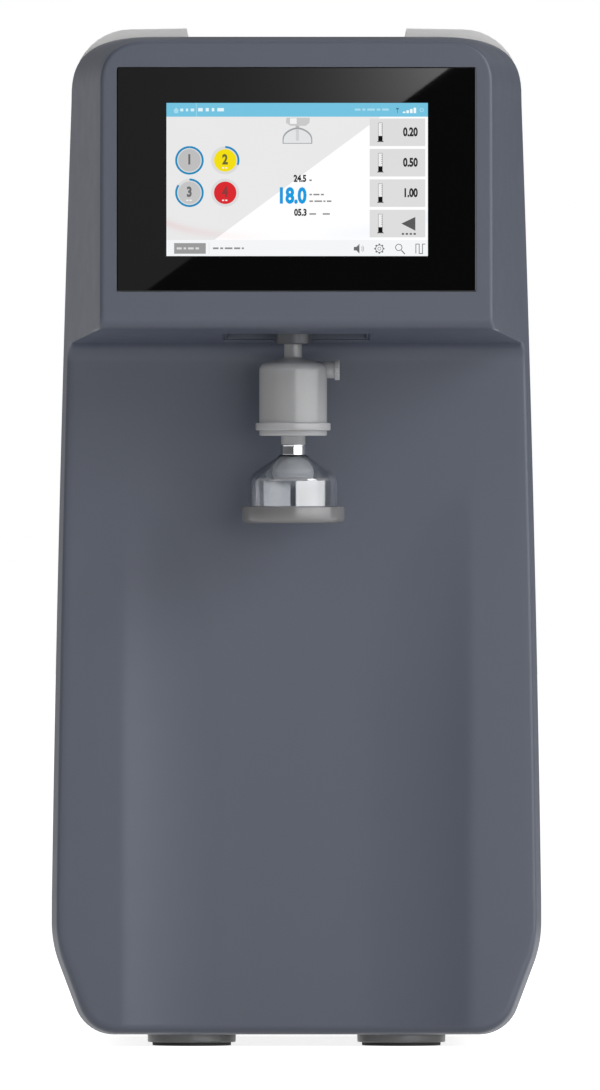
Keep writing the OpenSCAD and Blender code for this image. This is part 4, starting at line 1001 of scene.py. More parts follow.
@dataclass
class Picture:
    """Shapes painted on the lit display, placed in the panel's own 1024 by 600 px, (0, 0) at top left.

    Layers lie layer_mm apart, each in front of the one before, and a shape is thick layers deep.
    """

    piece: Piece
    left: float = -76.6
    top: float = 557.95
    pitch: float = 154 / 1024
    glass_y: float = -239.88
    layer_mm: float = 0.014
    thick: float = 0.6

    def place(self, spots: Array, layer: float) -> Array:
        """Points (n, 3) in millimetres for spots (n, 2) in panel px, on one layer in front of the glass."""
        u, v = np.asarray(spots, float).T
        y = np.full(len(u), self.glass_y - layer * self.layer_mm)
        return np.stack([self.left + u * self.pitch, y, self.top - v * self.pitch], axis=1)

    def ink(self, colour: str, faces: int) -> None:
        """Notes the ink of the faces just added."""
        self.piece.inks += [linear(colour)] * faces

    def shape(self, outline: Array | list[Pair], colour: str, layer: int) -> None:
        """Paints a closed outline as a thin solid: front, back and a side face for each edge."""
        n = len(outline)
        both = np.concatenate([self.place(outline, layer), self.place(outline, layer - self.thick)])
        k = np.arange(n)
        sides = np.stack([k, k + n, (k + 1) % n + n, (k + 1) % n], axis=1).tolist()
        self.piece.add(both, [list(range(n)), list(range(2 * n - 1, n - 1, -1))] + sides)
        self.ink(colour, n + 2)

    def box(self, u: float, v: float, width: float, height: float, colour: str, layer: int) -> None:
        """Paints an upright rectangle."""
        self.shape([(u, v), (u, v + height), (u + width, v + height), (u + width, v)], colour, layer)

    def arc(self, u: float, v: float, radii: Pair, turn: Pair, colour: str, layer: int) -> None:
        """Paints part of a ring, or of a disc where the inner radius is 0.

        Args:
            u: Centre, px from the left.
            v: Centre, px from the top.
            radii: Inner and outer radius in px.
            turn: First and last angle in degrees, clockwise from 12 o'clock.
            colour: Ink.
            layer: Layer number.
        """
        a = np.radians(np.linspace(turn[0], turn[1], 40))
        rim = np.stack([np.sin(a), -np.cos(a)], axis=1)
        inner = rim[::-1] * radii[0] if radii[0] else np.zeros((1, 2))
        outline = np.concatenate([rim * radii[1], inner])
        if not radii[0] and turn[1] - turn[0] >= 360:
            outline = rim[:-1] * radii[1]
        self.shape(outline + (u, v), colour, layer)

    def line(self, spots: list[Pair], width: float, colour: str, layer: int) -> None:
        """Paints a stroke of even width along a bent line; at a bend the two sides meet on its bisector."""
        path = np.array(spots, float)
        along = unit(np.diff(path, axis=0))
        before, after = np.vstack([along[:1], along]), np.vstack([along, along[-1:]])
        mid = unit(before + after)
        across = np.stack([-mid[:, 1], mid[:, 0]], axis=1) * (width / 2)
        across /= (mid * after).sum(1, keepdims=True)
        self.shape(np.concatenate([path + across, (path - across)[::-1]]), colour, layer)

    def number(self, text: str, u: float, v: float, height: float, colour: str, layer: int,
               squeeze: float = 0.8) -> None:
        """Paints plain figures, right-aligned.

        Args:
            text: The figures.
            u: Right end in px.
            v: Foot in px.
            height: Height of a figure in px.
            colour: Ink.
            layer: Layer number.
            squeeze: Width as a share of the letter form's own.
        """
        curve = bpy.data.curves.new("figures", "FONT")
        curve.body, curve.align_x, curve.resolution_u = text, "RIGHT", 3
        curve.extrude, curve.offset = 0.01, 0.045
        holder = bpy.data.objects.new("figures", curve)
        flat = bpy.data.meshes.new_from_object(holder)
        spots = np.zeros(len(flat.vertices) * 3)
        flat.vertices.foreach_get("co", spots)
        spots = spots.reshape(-1, 3)
        figure_height = 0.72
        scale = height / figure_height
        front = spots[:, 2] > 0
        placed = np.stack([u + spots[:, 0] * scale * squeeze, v - spots[:, 1] * scale], axis=1)
        points = np.where(front[:, None], self.place(placed, layer), self.place(placed, layer - self.thick))
        faces = [list(face.vertices) for face in flat.polygons]
        self.piece.add(points, faces)
        self.ink(colour, len(faces))
        bpy.data.objects.remove(holder)
        bpy.data.curves.remove(curve)
        bpy.data.meshes.remove(flat)

    def ground_and_painted_reflection(self) -> None:
        """Paints the ground: light grey above a slant as a painted reflection of the glass's gloss, white
        below it, with a pink and a blue veil.

        The grid's columns are shared out on both sides of the slant, so that its edge is sharp. A veil's
        strength falls off as exp(-(distance / width)^2) from a bent line.
        """
        header, foot, half_cols = 54, 600, 24
        v = np.linspace(header, foot, 64)[:, None]
        # the slant is the edge of the painted reflection
        slant = 792.4 - 1.3516 * (v - 88.7)
        s = np.linspace(0, 1, half_cols + 1)[None, :]
        u = np.concatenate([slant * s, slant + (1024 - slant) * s[:, 1:]], axis=1)
        spots = np.stack([u, np.broadcast_to(v, u.shape)], axis=-1)
        grid = self.place(spots.reshape(-1, 2), 1).reshape(*u.shape, 3)
        middle = (spots[:-1, :-1] + spots[1:, 1:]) / 2
        cu, cv = middle[..., 0], middle[..., 1]
        # painted reflection: the light grey above the slant is the cover glass's gloss drawn into the
        # picture
        grey = np.array(linear("#e9e9e9")[:3])
        base = np.where((np.arange(u.shape[1] - 1) < half_cols)[None, :, None], grey, 1.0)
        fall = 470 + 62 * (1 - np.exp(-cu / 150))
        pink = 0.34 * np.exp(-(((cv - fall) / 16) ** 2)) * np.clip(1 - cu / 420, 0, 1)
        rise = 520 - 70 * np.clip((cu - 620) / 380, 0, 1) ** 2
        blue = 0.16 * np.exp(-(((cv - rise) / 26) ** 2)) * np.clip((cu - 560) / 300, 0, 1)
        tone = base * (1 - pink[..., None] * np.array([0.02, 0.42, 0.38]))
        tone = tone * (1 - blue[..., None] * np.array([0.5, 0.35, 0.0]))
        self.piece.patch(grid)
        self.piece.inks += [(*cell, 1.0) for cell in tone.reshape(-1, 3).tolist()]
        rim = np.concatenate([grid[0, :-1], grid[:-1, -1], grid[-1, :0:-1], grid[:0:-1, 0]])
        behind = rim + np.array([0, self.thick * self.layer_mm, 0])
        self.piece.patch(np.stack([rim, behind]), wrap_cols=True)
        self.piece.polygon(behind)
        self.ink("#000000", len(rim) + 1)

    def words(self, u: float, v: float, widths: tuple[float, ...], height: float, colour: str,
              layer: int) -> None:
        """Paints a row of short bars that stand for small print, with gaps between them."""
        for width in widths:
            self.box(u, v, width, height, colour, layer)
            u += width + height * 0.9


@dataclass
class Screen:
    """Touch screen: the back-printed cover glass and the lit picture."""

    kit: Kit
    low: Spot = (-105.75, -239.88, 446.95)
    high: Spot = (105.75, -238.2, 578.95)
    sky: str = "#74c3e0"
    ring: str = "#2089bd"
    button: str = "#dddddd"
    dark: str = "#2b2b2b"
    mark: str = "#5a5a5a"
    symbol: str = "#6c6c6c"

    def glass(self) -> None:
        """Makes the cover glass: a slab with small ground edges, 0.12 mm behind the face of the shell."""
        piece = self.kit.piece("cover_glass", "touch_glass")
        piece.slab(self.low, self.high, 0.8, 0.25)
        piece.make(crease=20)

    def badge(self, picture: Picture, spot: Pair, body: str, turn: Pair | None, figure: str,
              ink: str) -> None:
        """Paints one round state badge with its progress ring and figure."""
        u, v = spot
        picture.arc(u, v, (0, 55), (0, 360), "#dcdcdc", 2)
        if turn:
            picture.arc(u, v, (48, 56), turn, self.ring, 3)
        picture.arc(u, v, (0, 44), (0, 360), body, 3)
        picture.number(figure, u + 10, v + 14, 38, ink, 4)
        picture.words(u - 12, v + 27, (8, 8), 5, "#f4f4f4" if figure != "1" else body, 4)

    def readings(self, picture: Picture) -> None:
        """Paints the three readings with bars for their units, and the nozzle's pictogram."""
        for figures, u, v, height, ink in (("24.5", 548, 308, 26, self.dark),
                                           ("18.0", 548, 391, 60, "#1a9be0"),
                                           ("05.3", 550, 441, 26, self.dark)):
            picture.number(figures, u, v, height, ink, 3)
        for u, v, widths, ink in ((560, 300, (9,), "#7d7d7d"), (560, 356, (10, 24, 12), "#8d8d8d"),
                                  (560, 382, (14, 30, 8, 18), "#8d8d8d"), (560, 432, (26,), "#8d8d8d"),
                                  (612, 432, (28,), "#8d8d8d")):
            picture.words(u, v, widths, 6, ink, 3)
        holder = [(470, 58), (468, 78), (486, 90), (546, 90), (560, 78), (562, 58)]
        picture.shape(holder, "#c9c9c9", 2)
        picture.box(484, 60, 26, 22, "#f2f2f2", 3)
        picture.box(506, 90, 14, 8, "#b5b5b5", 2)
        a = np.linspace(0, math.pi, 30)
        dome = np.stack([513 - 14.5 * np.cos(a) ** 3 - 44 * np.cos(a), 150 - 54 * np.sin(a) ** 0.7], axis=1)
        picture.shape(np.concatenate([dome, [(571, 160), (455, 160)]]), "#9fa3a6", 2)
        inner = (dome - (513, 150)) * 0.93 + (513, 153)
        picture.shape(np.concatenate([inner, [(567, 157), (459, 157)]]), "#e3e4e5", 3)
        picture.box(507, 104, 12, 44, "#cfd2d4", 4)

    def buttons(self, picture: Picture) -> None:
        """Paints the four volume buttons with a measuring cylinder on each."""
        for row, figure in enumerate(("0.20", "0.50", "1.00", "")):
            v = 61 + 119.2 * row
            foot = [(824, v + 92), (830, v + 86), (846, v + 86), (852, v + 92)]
            for u, down, width, height, ink, layer in (
                    (796, 0, 218, 108, self.button, 2), (829, 16, 18, 72, "#9b9b9b", 3),
                    (831, 18, 14, 70, "#efefef", 4), (830, 68, 16, 20, "#111111", 5)):
                picture.box(u, v + down, width, height, ink, layer)
            picture.shape(foot, "#4c4c4c", 4)
            for tick in range(5):
                picture.box(841, v + 24 + 8 * tick, 5, 2, "#8a6f6f", 5)
            if figure:
                picture.number(figure, 984, v + 68, 33, self.dark, 3, 0.72)
            else:
                picture.shape([(920, v + 54), (975, v + 28), (975, v + 82)], self.mark, 3)
                picture.words(922, v + 91, (9, 9, 9, 9), 7, self.mark, 3)

    def bars(self, picture: Picture) -> None:
        """Paints the header and footer with their symbols."""
        home = [(26, 30), (38, 18), (50, 30), (46, 30), (46, 40), (30, 40), (30, 30)]
        pointer = [(898, 20), (912, 20), (906, 28), (906, 40), (904, 40), (904, 28)]
        horn = [(734, 564), (744, 564), (756, 552), (756, 590), (744, 578), (734, 578)]
        steps = [(977, 590), (977, 553), (990, 553), (990, 590), (1003, 590), (1003, 553), (1014, 553)]
        picture.box(0, 0, 1024, 54, self.sky, 2)
        picture.box(116, 0, 2, 54, "#a9dcee", 3)
        picture.shape(home, "#a4dcee", 3)
        picture.words(54, 22, (12, 9, 14), 11, "#d3eef7", 3)
        picture.words(124, 20, (18, 12, 10, 26), 13, "#e4f5fa", 3)
        picture.words(738, 22, (22, 12, 30, 14, 26), 8, "#a9dcee", 3)
        picture.shape(pointer, "#3f7688", 3)
        for bar in range(4):
            picture.box(926 + 14 * bar, 34 - 5 * bar, 10, 6 + 5 * bar, "#f2fbfe", 3)
        picture.arc(1000, 28, (5, 8), (0, 350), "#a9dcee", 3)
        picture.box(0, 537, 1024, 63, "#f4f6f8", 2)
        picture.box(30, 549, 124, 42, "#9a9a9a", 3)
        picture.words(40, 566, (20, 10, 22, 14), 8, "#d9d9d9", 4)
        picture.box(166, 546, 2, 46, "#dfe2e5", 3)
        picture.words(182, 566, (22, 12, 30, 24, 8), 7, "#8c8f92", 3)
        picture.shape(horn, self.symbol, 3)
        for radii in ((9, 12), (15, 18)):
            picture.arc(756, 571, radii, (45, 135), "#b4b4b4", 3)
        for radii in ((13, 16), (5, 7)):
            picture.arc(834, 571, radii, (0, 359), self.symbol, 3)
        for spoke in range(8):
            picture.arc(834, 571, (15, 20), (45 * spoke - 9, 45 * spoke + 9), self.symbol, 3)
        picture.arc(910, 566, (11, 14), (0, 359), self.symbol, 3)
        picture.line([(920, 577), (934, 592)], 4, self.symbol, 3)
        picture.line(steps, 3, self.symbol, 3)

    def build(self) -> None:
        """Makes the glass and everything that the display shows."""
        self.glass()
        piece = Piece("display_picture", PICTURE, "cabinet", "lit_display")
        picture = Picture(piece)
        picture.ground_and_painted_reflection()
        self.bars(picture)
        for spot, body, turn, figure, ink in (
                ((90, 225), "#bebebe", (0, 359.5), "1", "#6a6a6a"),
                ((230, 225), "#f4df10", (0, 110), "2", "#6a6a38"),
                ((90, 352), "#c4c4c4", (0, 305), "3", "#6a6a6a"),
                ((230, 352), "#d92a30", None, "4", "#8f3a3c")):
            self.badge(picture, spot, body, turn, figure, ink)
        self.readings(picture)
        self.buttons(picture)
        piece.make(crease=30)


# ---- Nozzle -------------------------------------------------------------


@dataclass
class Nozzle:
    """Dispensing nozzle: collar, filter capsule with its vent, chromed ring, bell and guard ring."""

    kit: Kit
    axis: Spot = (-2.0, -184.0, 0.0)
    vent_axis: Spot = (-2.0, -184.0, 401.0)
    bell: float = 26.35
    throat: float = 8.0
    wall: float = 1.5

    def collar(self) -> None:
        """Collar in the pocket: turned from a profile with small rounds."""
        profile = rounded([(2.5, 440, 0), (2.5, 424, 0), (5.4, 424, 0), (5.4, 416.2, 0.6),
                           (10.75, 416.2, 0.9), (10.75, 422.4, 0.5), (13.5, 422.4, 0.5),
                           (13.5, 423.5, 0.4), (9, 423.5, 0.4), (9, 440, 0.5)])
        self.kit.turned("nozzle_collar", "turned_nozzle_collar", profile, self.axis)

    def capsule(self) -> None:
        """Filter capsule: domed top, body, flange of the welded lid, outlet and the vent's stub."""
        piece = self.kit.piece("moulded_filter_capsule", "filter_capsule")
        profile = rounded([(2, 356.8, 0), (7.25, 356.8, 0.3), (7.25, 362, 0.3), (20.1, 362, 0.9),
                           (20.1, 365.2, 0.3), (22.2, 365.2, 0.7), (22.2, 369.7, 0.7), (20.1, 369.7, 0.4),
                           (20.1, 404.2, 5), (12.5, 406.6, 8), (5.35, 408.3, 0.8), (5.35, 422, 0.4),
                           (2, 422, 0), (2, 404, 0), (18.5, 399, 0), (18.5, 363.6, 0), (2, 363.6, 0)])
        piece.spin(profile, self.axis, steps=144)
        stub = rounded([(2.05, 14.5, 0), (5, 14.5, 0), (5, 24.5, 0.4), (2.05, 24.5, 0)])
        piece.spin(stub, self.vent_axis, Axis.X, 64)
        for angle in np.radians([35, 215]):
            x, y = self.axis[0] + 5.6 * math.cos(angle), self.axis[1] + 5.6 * math.sin(angle)
            piece.slab((x - 0.9, y - 0.9, 417), (x + 0.9, y + 0.9, 420), 0.6, 0.3, Axis.Z)
        piece.make()

    def vent(self) -> None:
        """Vent knob: a disc with 18 shallow flutes round its rim, on a plain stem."""
        piece = self.kit.piece("fluted_vent_knob", "vent_knob")
        disc = rounded([(0, 27.5, 0), (6.05, 27.5, 0.5), (6.05, 24.5, 0.4), (0, 24.5, 0)], 4)
        piece.spin(disc, self.vent_axis, Axis.X, 144, False, (18, 0.32, 24.4, 27.6))
        stem = rounded([(0, 24.6, 0), (2, 24.6, 0), (2, 20, 0.3), (0, 20, 0)], 4)
        piece.spin(stem, self.vent_axis, Axis.X, 40, False)
        piece.make()

    def membrane(self) -> None:
        """Pleated membrane inside the capsule: 60 folds drawn as flutes round a sleeve."""
        profile = rounded([(5, 363.6, 0.3), (14, 363.6, 0.5), (14, 397.6, 0.5), (5, 397.6, 0.3)], 3)
        self.kit.turned("capsule_membrane", "pleated_capsule_membrane", profile, self.axis, steps=300,
                        flutes=(60, 1.4, 363, 398))

    def outlet(self) -> None:
        """Chromed ring between capsule and bell, with a turned groove near its top."""
        piece = self.kit.piece("chromed_outlet_ring", "outlet_ring")
        profile = rounded([(3, 350.8, 0), (7.3, 350.8, 0.2), (7.3, 351.2, 0), (7.3, 355.5, 0),
                           (7.3, 355.7, 0), (7.1, 355.9, 0), (7.3, 356.1, 0), (7.3, 356.8, 0.2),
                           (3, 356.8, 0)], 3)
        piece.spin(profile, self.axis)
        piece.make(crease=50)

    def flare(self, t: Array) -> Array:
        """Radius of the bell at a share t of the way down: T + (R - T) sin(90 deg * t^1.15)."""
        return self.throat + (self.bell - self.throat) * np.sin(math.pi / 2 * t**1.15)

    def clear_bell(self) -> None:
        """Bell: the flare carried round the axis, with a thin wall and a bead at the mouth."""
        piece = self.kit.piece("clear_dispense_bell", "dispense_bell")
        t = np.linspace(0, 1, 28)
        outer = np.stack([self.flare(t), 350.8 - 15.8 * t], axis=1)
        slope = unit(np.gradient(outer, axis=0))
        inner = outer + np.stack([slope[:, 1], -slope[:, 0]], axis=1) * self.wall
        rim = np.array([(self.bell, 320.4), (self.bell - 0.5, 320.1), (self.bell - 1.0, 320.1),
                        (self.bell - self.wall, 320.4)])
        inner = inner[inner[:, 1] < 349.3]
        profile = np.concatenate([[(3.1, 350.8)], outer, rim, inner[::-1], [(3.1, 349.3)]])
        piece.spin(profile, self.axis, steps=160)
        piece.make()

    def core(self) -> None:
        """Core that spreads the jet inside the bell, with a waist under its neck."""
        profile = rounded([(2, 338, 0), (11.5, 338, 0.6), (12.4, 339.6, 0.8), (12.2, 341.6, 1.5),
                           (10.9, 343.8, 3), (8.6, 346.6, 1.5), (7, 347.6, 0.6), (3.1, 349, 0.4),
                           (3.1, 350.8, 0), (2, 350.8, 0)])
        self.kit.turned("bell_core", "bell_jet_core", profile, self.axis, steps=72)

    def band(self) -> None:
        """Soft guard ring round the mouth, rounded below and lapped over the bell."""
        profile = rounded([(24, 320.2, 0.3), (30.5, 320.2, 0.6), (30.5, 310.2, 3), (24, 310.2, 0.8)])
        self.kit.turned("bell_band", "guard_ring", profile, self.axis, steps=144)

    def build(self) -> None:
        """Makes every piece of the nozzle."""
        for part in (self.collar, self.capsule, self.membrane, self.vent, self.outlet, self.clear_bell,
                     self.core, self.band):
            part()


# ---- Feet ---------------------------------------------------------------


@dataclass
class Feet:
    """Four feet: a moulded cup with a ribbed rubber pad under it."""

    kit: Kit
    xs: Pair = (-62.3, 62.3)
    ys: Pair = (-94.0, 180.0)

    def build(self) -> None:
        """Makes the cups as one piece and the pads as another."""
        cups = self.kit.piece("moulded_foot_cups", "foot_cups")
        pads = self.kit.piece("ribbed_foot_pads", "foot_pads")
        cup = rounded([(2.6, 7, 0), (26.2, 7, 0.2), (26.2, 2, 0.8), (2.6, 2, 0)], 5)
        pad = rounded([(5.5, 2, 0), (23.4, 2, 0), (23.4, 0, 0.5), (19, 0, 0.2), (19, 0.6, 0.1),
                       (16, 0.6, 0.1), (16, 0, 0.2), (9, 0, 0.2), (9, 0.6, 0.1), (5.5, 0.6, 0.1)], 3)
        for x in self.xs:
            for y in self.ys:
                cups.spin(cup, (x, y, 0))
                pads.spin(pad, (x, y, 0))
        cups.make()
        pads.make()


# ---- Cabinet ------------------------------------------------------------


@dataclass
class Cabinet:
    """Rear housing: light covers, tub, panels, frame sheet, catches and every screw."""

    kit: Kit
    back_y: float = 225.0
    bulk_y: float = -125.0
    board_y: float = -222.4
    bosses: tuple[Pair, ...] = ((121, 536), (129, 300), (128, 92))
    rear_zs: tuple[float, ...] = (90, 330, 560)
    board: tuple[float, float, float] = (92.0, 468.0, 556.0)
    feet: tuple[float, float, float] = (62.3, -94.0, 180.0)

    def screws(self) -> None:
        """Makes the case, board and foot screws with their heads and recesses."""
        case, board, foot = (self.kit.piece("pan_head_" + node, node)
                             for node in ("case_screws", "board_screws", "foot_screws"))
        for side in (-1, 1):
            for x, z in self.bosses:
                case.screw((side * x, self.bulk_y, z), 1, Axis.Y, (3.6, 2.4), (2.0, 9.0))
            for z in self.rear_zs:
                case.screw((side * 105, self.back_y, z), 1, Axis.Y, (3.6, 2.0), (2.0, 0.02))
            for z in self.board[1:]:
                board.screw((side * self.board[0], self.board_y, z), 1, Axis.Y, (2.8, 1.8), (1.5, 6.6))
            for y in self.feet[1:]:
                foot.screw((side * self.feet[0], y, 2.0), -1, Axis.Z, (4.5, 1.6), (2.5, 12.0))
        for piece in (case, board, foot):
            piece.make()

    def build(self) -> None:
        """Refines the sheet and moulded parts and makes the screws."""
        self.kit.refined(
            ("left_cover", "moulded_left_cover", 0.9), ("right_cover", "moulded_right_cover", 0.9),
            ("base_tub", "moulded_base_tub", 0.8), ("top_panel", "folded_top_panel", 0.6),
            ("rear_panel", "folded_rear_panel", 0.4), ("front_bulkhead", "moulded_front_bulkhead", 0.5),
            ("centre_frame", "plated_centre_frame", 0.4), ("hinge_posts", "plated_hinge_posts", 0.4),
            ("cover_catches", "moulded_cover_catches", 0.8),
            ("nozzle_pocket", "moulded_nozzle_pocket", 0.6))
        self.screws()


# ---- Purification -------------------------------------------------------


@dataclass
class Purification:
    """Cartridges with their manifold, ultraviolet reactor, ultrafilter and the sensors after them."""

    kit: Kit
    cartridge_x: float = 60.0
    reactor: Pair = (-62.0, -70.0)
    filter_at: Pair = (-62.0, 10.0)

    def cartridge(self, node: str, y: float) -> None:
        """Makes one cartridge: rounded ribs, a fluted grip at its foot and two bayonet lugs on its neck."""
        piece = self.kit.piece("ribbed_" + node, node)
        low = [(0, 128, 0), (40, 128, 3), (49, 132, 3), (50.5, 142, 3), (51.6, 144, 0.8), (51.6, 155, 0.8),
               (50.5, 157, 0.8)]
        rib = ((50.5, 0), (52, 2), (52, 10), (50.5, 12))
        ribs = [(r, z + up, 0.8) for z in range(160, 441, 40) for r, up in rib]
        top = [(50.5, 474, 4), (44, 486, 4), (24, 494, 3), (20, 496, 1), (20, 530, 1), (4, 530, 0.5),
               (4, 500, 0.5), (0, 500, 0)]
        piece.spin(rounded(low + ribs + top, 4), (self.cartridge_x, y, 0), steps=144, closed=False,
                   flutes=(36, 1.1, 143.5, 155.6))
        for side in (-1, 1):
            x = self.cartridge_x + side * 21.5
            piece.slab((x - 3.5, y - 4, 514.5), (x + 3.5, y + 4, 520.5), 1.5, 0.5, Axis.Z)
        piece.make()

    def vessels(self) -> None:
        """Makes the reactor tube with two rolled beads, its lamp, and the ultrafilter with ribbed caps."""
        at = (*self.reactor, 0)
        profile = rounded([(22.5, 150, 0.4), (24, 150, 0.4), (24, 168, 2), (24.6, 170, 1), (24, 172, 2),
                           (24, 448, 2), (24.6, 450, 1), (24, 452, 2), (24, 470, 0.4),
                           (22.5, 470, 0.4)], 4)
        self.kit.turned("uv_reactor", "brushed_reactor_tube", profile, at, steps=128)
        sleeve = rounded([(0, 143, 0), (8, 143, 3), (8, 493, 0.5), (0, 493, 0)])
        self.kit.turned("uv_lamp", "quartz_lamp_sleeve", sleeve, at, steps=64, closed=False)
        base = Piece("ceramic_lamp_base", CERAMIC, "cabinet", "white_plastic")
        base.spin(rounded([(0, 493.02, 0), (10, 493.02, 0.8), (10, 505, 1.2), (6, 505, 0.4), (6, 503, 0.3),
                           (0, 503, 0)]), at, steps=64, closed=False)
        base.make()
        x, y = self.filter_at
        body = self.kit.piece("moulded_ultrafilter", "ultrafilter")
        profile = rounded([(0, 160, 0), (2.5, 160, 0), (2.5, 141, 0.3), (4.5, 141, 0.4), (4.5, 150, 1),
                           (34, 150, 2), (34, 174, 1.5), (30, 174, 1.5), (30, 446, 1.5), (34, 446, 1.5),
                           (34, 470, 2), (4.5, 470, 1), (4.5, 478, 0.4), (2.5, 478, 0.3), (2.5, 460, 0),
                           (0, 460, 0)], 4)
        body.spin(profile, (x, y, 0), steps=160, closed=False, flutes=(40, 0.9, 153, 171))
        port = rounded([(2.5, 38.5, 0), (4.5, 38.5, 0), (4.5, 52, 0.5), (2.5, 52, 0.3)])
        body.spin(port, (x, 0, 190), Axis.Y, 48)
        body.make()

    def build(self) -> None:
        """Makes the vessels and refines what holds and measures them."""
        self.cartridge("pretreatment_cartridge", -58)
        self.cartridge("polishing_cartridge", 60)
        self.vessels()
        self.kit.refined(
            ("cartridge_manifold", "moulded_cartridge_manifold", 1.0),
            ("uv_caps", "moulded_reactor_caps", 0.9), ("pipe_clips", "moulded_pipe_clips", 0.6),
            ("resistivity_cell", "turned_resistivity_cell", 0.5),
            ("flow_sensor", "moulded_flow_sensor", 0.9), ("dispense_valve", "moulded_valve_body", 0.9))


# ---- Drives -------------------------------------------------------------


@dataclass
class Drives:
    """Pump with its motor, the valve's coil and plunger, and the fan."""

    kit: Kit
    pump: Pair = (-66.0, 62.0)
    nozzle: Pair = (-2.0, -184.0)
    fan: Pair = (-62.0, 470.0)
    fan_y: float = 211.0
    guard_y: float = 226.0
    blades: int = 7

    def motor(self) -> None:
        """Makes the motor case: a turned can with shallow cooling ribs along its barrel."""
        piece = self.kit.piece("ribbed_motor_case", "pump_motor")
        shape = rounded([(0, 66, 0), (30, 66, 3), (30, -22, 2), (4.05, -22, 0.2), (4.05, -18, 0.2),
                         (27, -18, 0), (27, 62, 0), (0, 62, 0)], 4)
        barrel = np.stack([np.full(12, 30.0), np.linspace(60, -16, 12)], axis=1)
        shape = np.concatenate([shape[:10], barrel, shape[10:]])
        piece.spin(shape, (self.pump[0], 0, self.pump[1]), Axis.Y, 192, False, (48, 0.9, -12, 58))
        piece.make()

    def valve(self) -> None:
        """Makes the coil with a moulded waist and the ground plunger inside it."""
        at = (*self.nozzle, 0)
        profile = rounded([(0, 500, 0), (15, 500, 1.5), (15, 492, 0.6), (13.8, 490, 0.6),
                           (13.8, 472, 0.6), (15, 470, 0.6), (15, 462, 0.8), (6, 462, 0.3), (6, 496, 0),
                           (0, 496, 0)], 4)
        self.kit.turned("valve_coil", "moulded_valve_coil", profile, at, steps=72, closed=False)
        rod = rounded([(0, 452.2, 0), (5.95, 452.2, 0.8), (5.95, 490.2, 0.8), (0, 490.2, 0)])
        self.kit.turned("valve_plunger", "ground_valve_plunger", rod, at, steps=48, closed=False)

    def rotor(self) -> None:
        """Makes the fan's rotor: a cup hub and twisted blades.

        A blade's section is an ellipse turned by a pitch that falls from 50 degrees at the hub to 30 at
        the tip. Its long way is wrapped round the hub: angle = u / r.
        """
        piece = self.kit.piece("moulded_fan_rotor", "fan_rotor")
        x, z = self.fan
        hub = rounded([(0, 219, 0), (17, 219, 2), (17, 203, 0.6), (2.5, 203, 0.4), (2.5, 198, 0.5),
                       (0, 198, 0)])
        piece.spin(hub, (x, 0, z), Axis.Y, 96, False)
        s = np.linspace(0, 1, 12)[:, None]
        turn = np.linspace(0, 2 * math.pi, 28, endpoint=False)[None, :]
        r = 16.2 + 20.2 * s
        pitch = np.radians(50 - 20 * s)
        long, thick = 8.4 + 1.4 * s, 0.95 - 0.35 * s
        u = long * np.cos(turn) * np.cos(pitch) - thick * np.sin(turn) * np.sin(pitch)
        v = long * np.cos(turn) * np.sin(pitch) + thick * np.sin(turn) * np.cos(pitch)
        for blade in range(self.blades):
            angle = 2 * math.pi * blade / self.blades + u / r
            grid = np.stack([x + r * np.sin(angle), self.fan_y + v, z + r * np.cos(angle)], axis=-1)
            piece.capped(grid)
        piece.make()

    def guard(self) -> None:
        """Makes the finger guard of welded round wire: rings, two crossing bars and four eyes."""
        piece = self.kit.piece("welded_finger_guard", "fan_guard")
        x, z = self.fan
        turn = np.linspace(0, 2 * math.pi, 12, endpoint=False)
        for radius in range(8, 41, 8):
            wire = np.stack([radius + 0.7 + 0.75 * np.cos(turn), self.guard_y + 0.75 * np.sin(turn)],
                            axis=1)
            piece.spin(wire, (x, 0, z), Axis.Y, 96)
        for side in (-1, 1):
            reach = np.linspace(-44.5, 44.5, 6)[:, None]
            bar = np.array([x, self.guard_y, z]) + reach * np.array([side, 0, 1]) / math.sqrt(2)
            piece.tube(bar, 0.78)
        eye = rounded([(1.4, 225, 0.1), (3.4, 225, 0.5), (3.4, 227.4, 0.5), (1.4, 227.4, 0.3)])
        for angle in np.radians([45, 135, 225, 315]):
            piece.spin(eye, (x + 46 * math.sin(angle), 0, z + 46 * math.cos(angle)), Axis.Y, 32)
        piece.make()

    def build(self) -> None:
        """Makes the drives."""
        self.motor()
        self.valve()
        self.rotor()
        self.guard()
        self.kit.refined(
            ("pump_head", "moulded_pump_head", 0.9), ("pump_cradle", "moulded_pump_cradle", 1.2),
            ("pump_rotor", "turned_pump_shaft", 0.4), ("fan_frame", "moulded_fan_frame", 0.7))


# ---- Electrics ----------------------------------------------------------


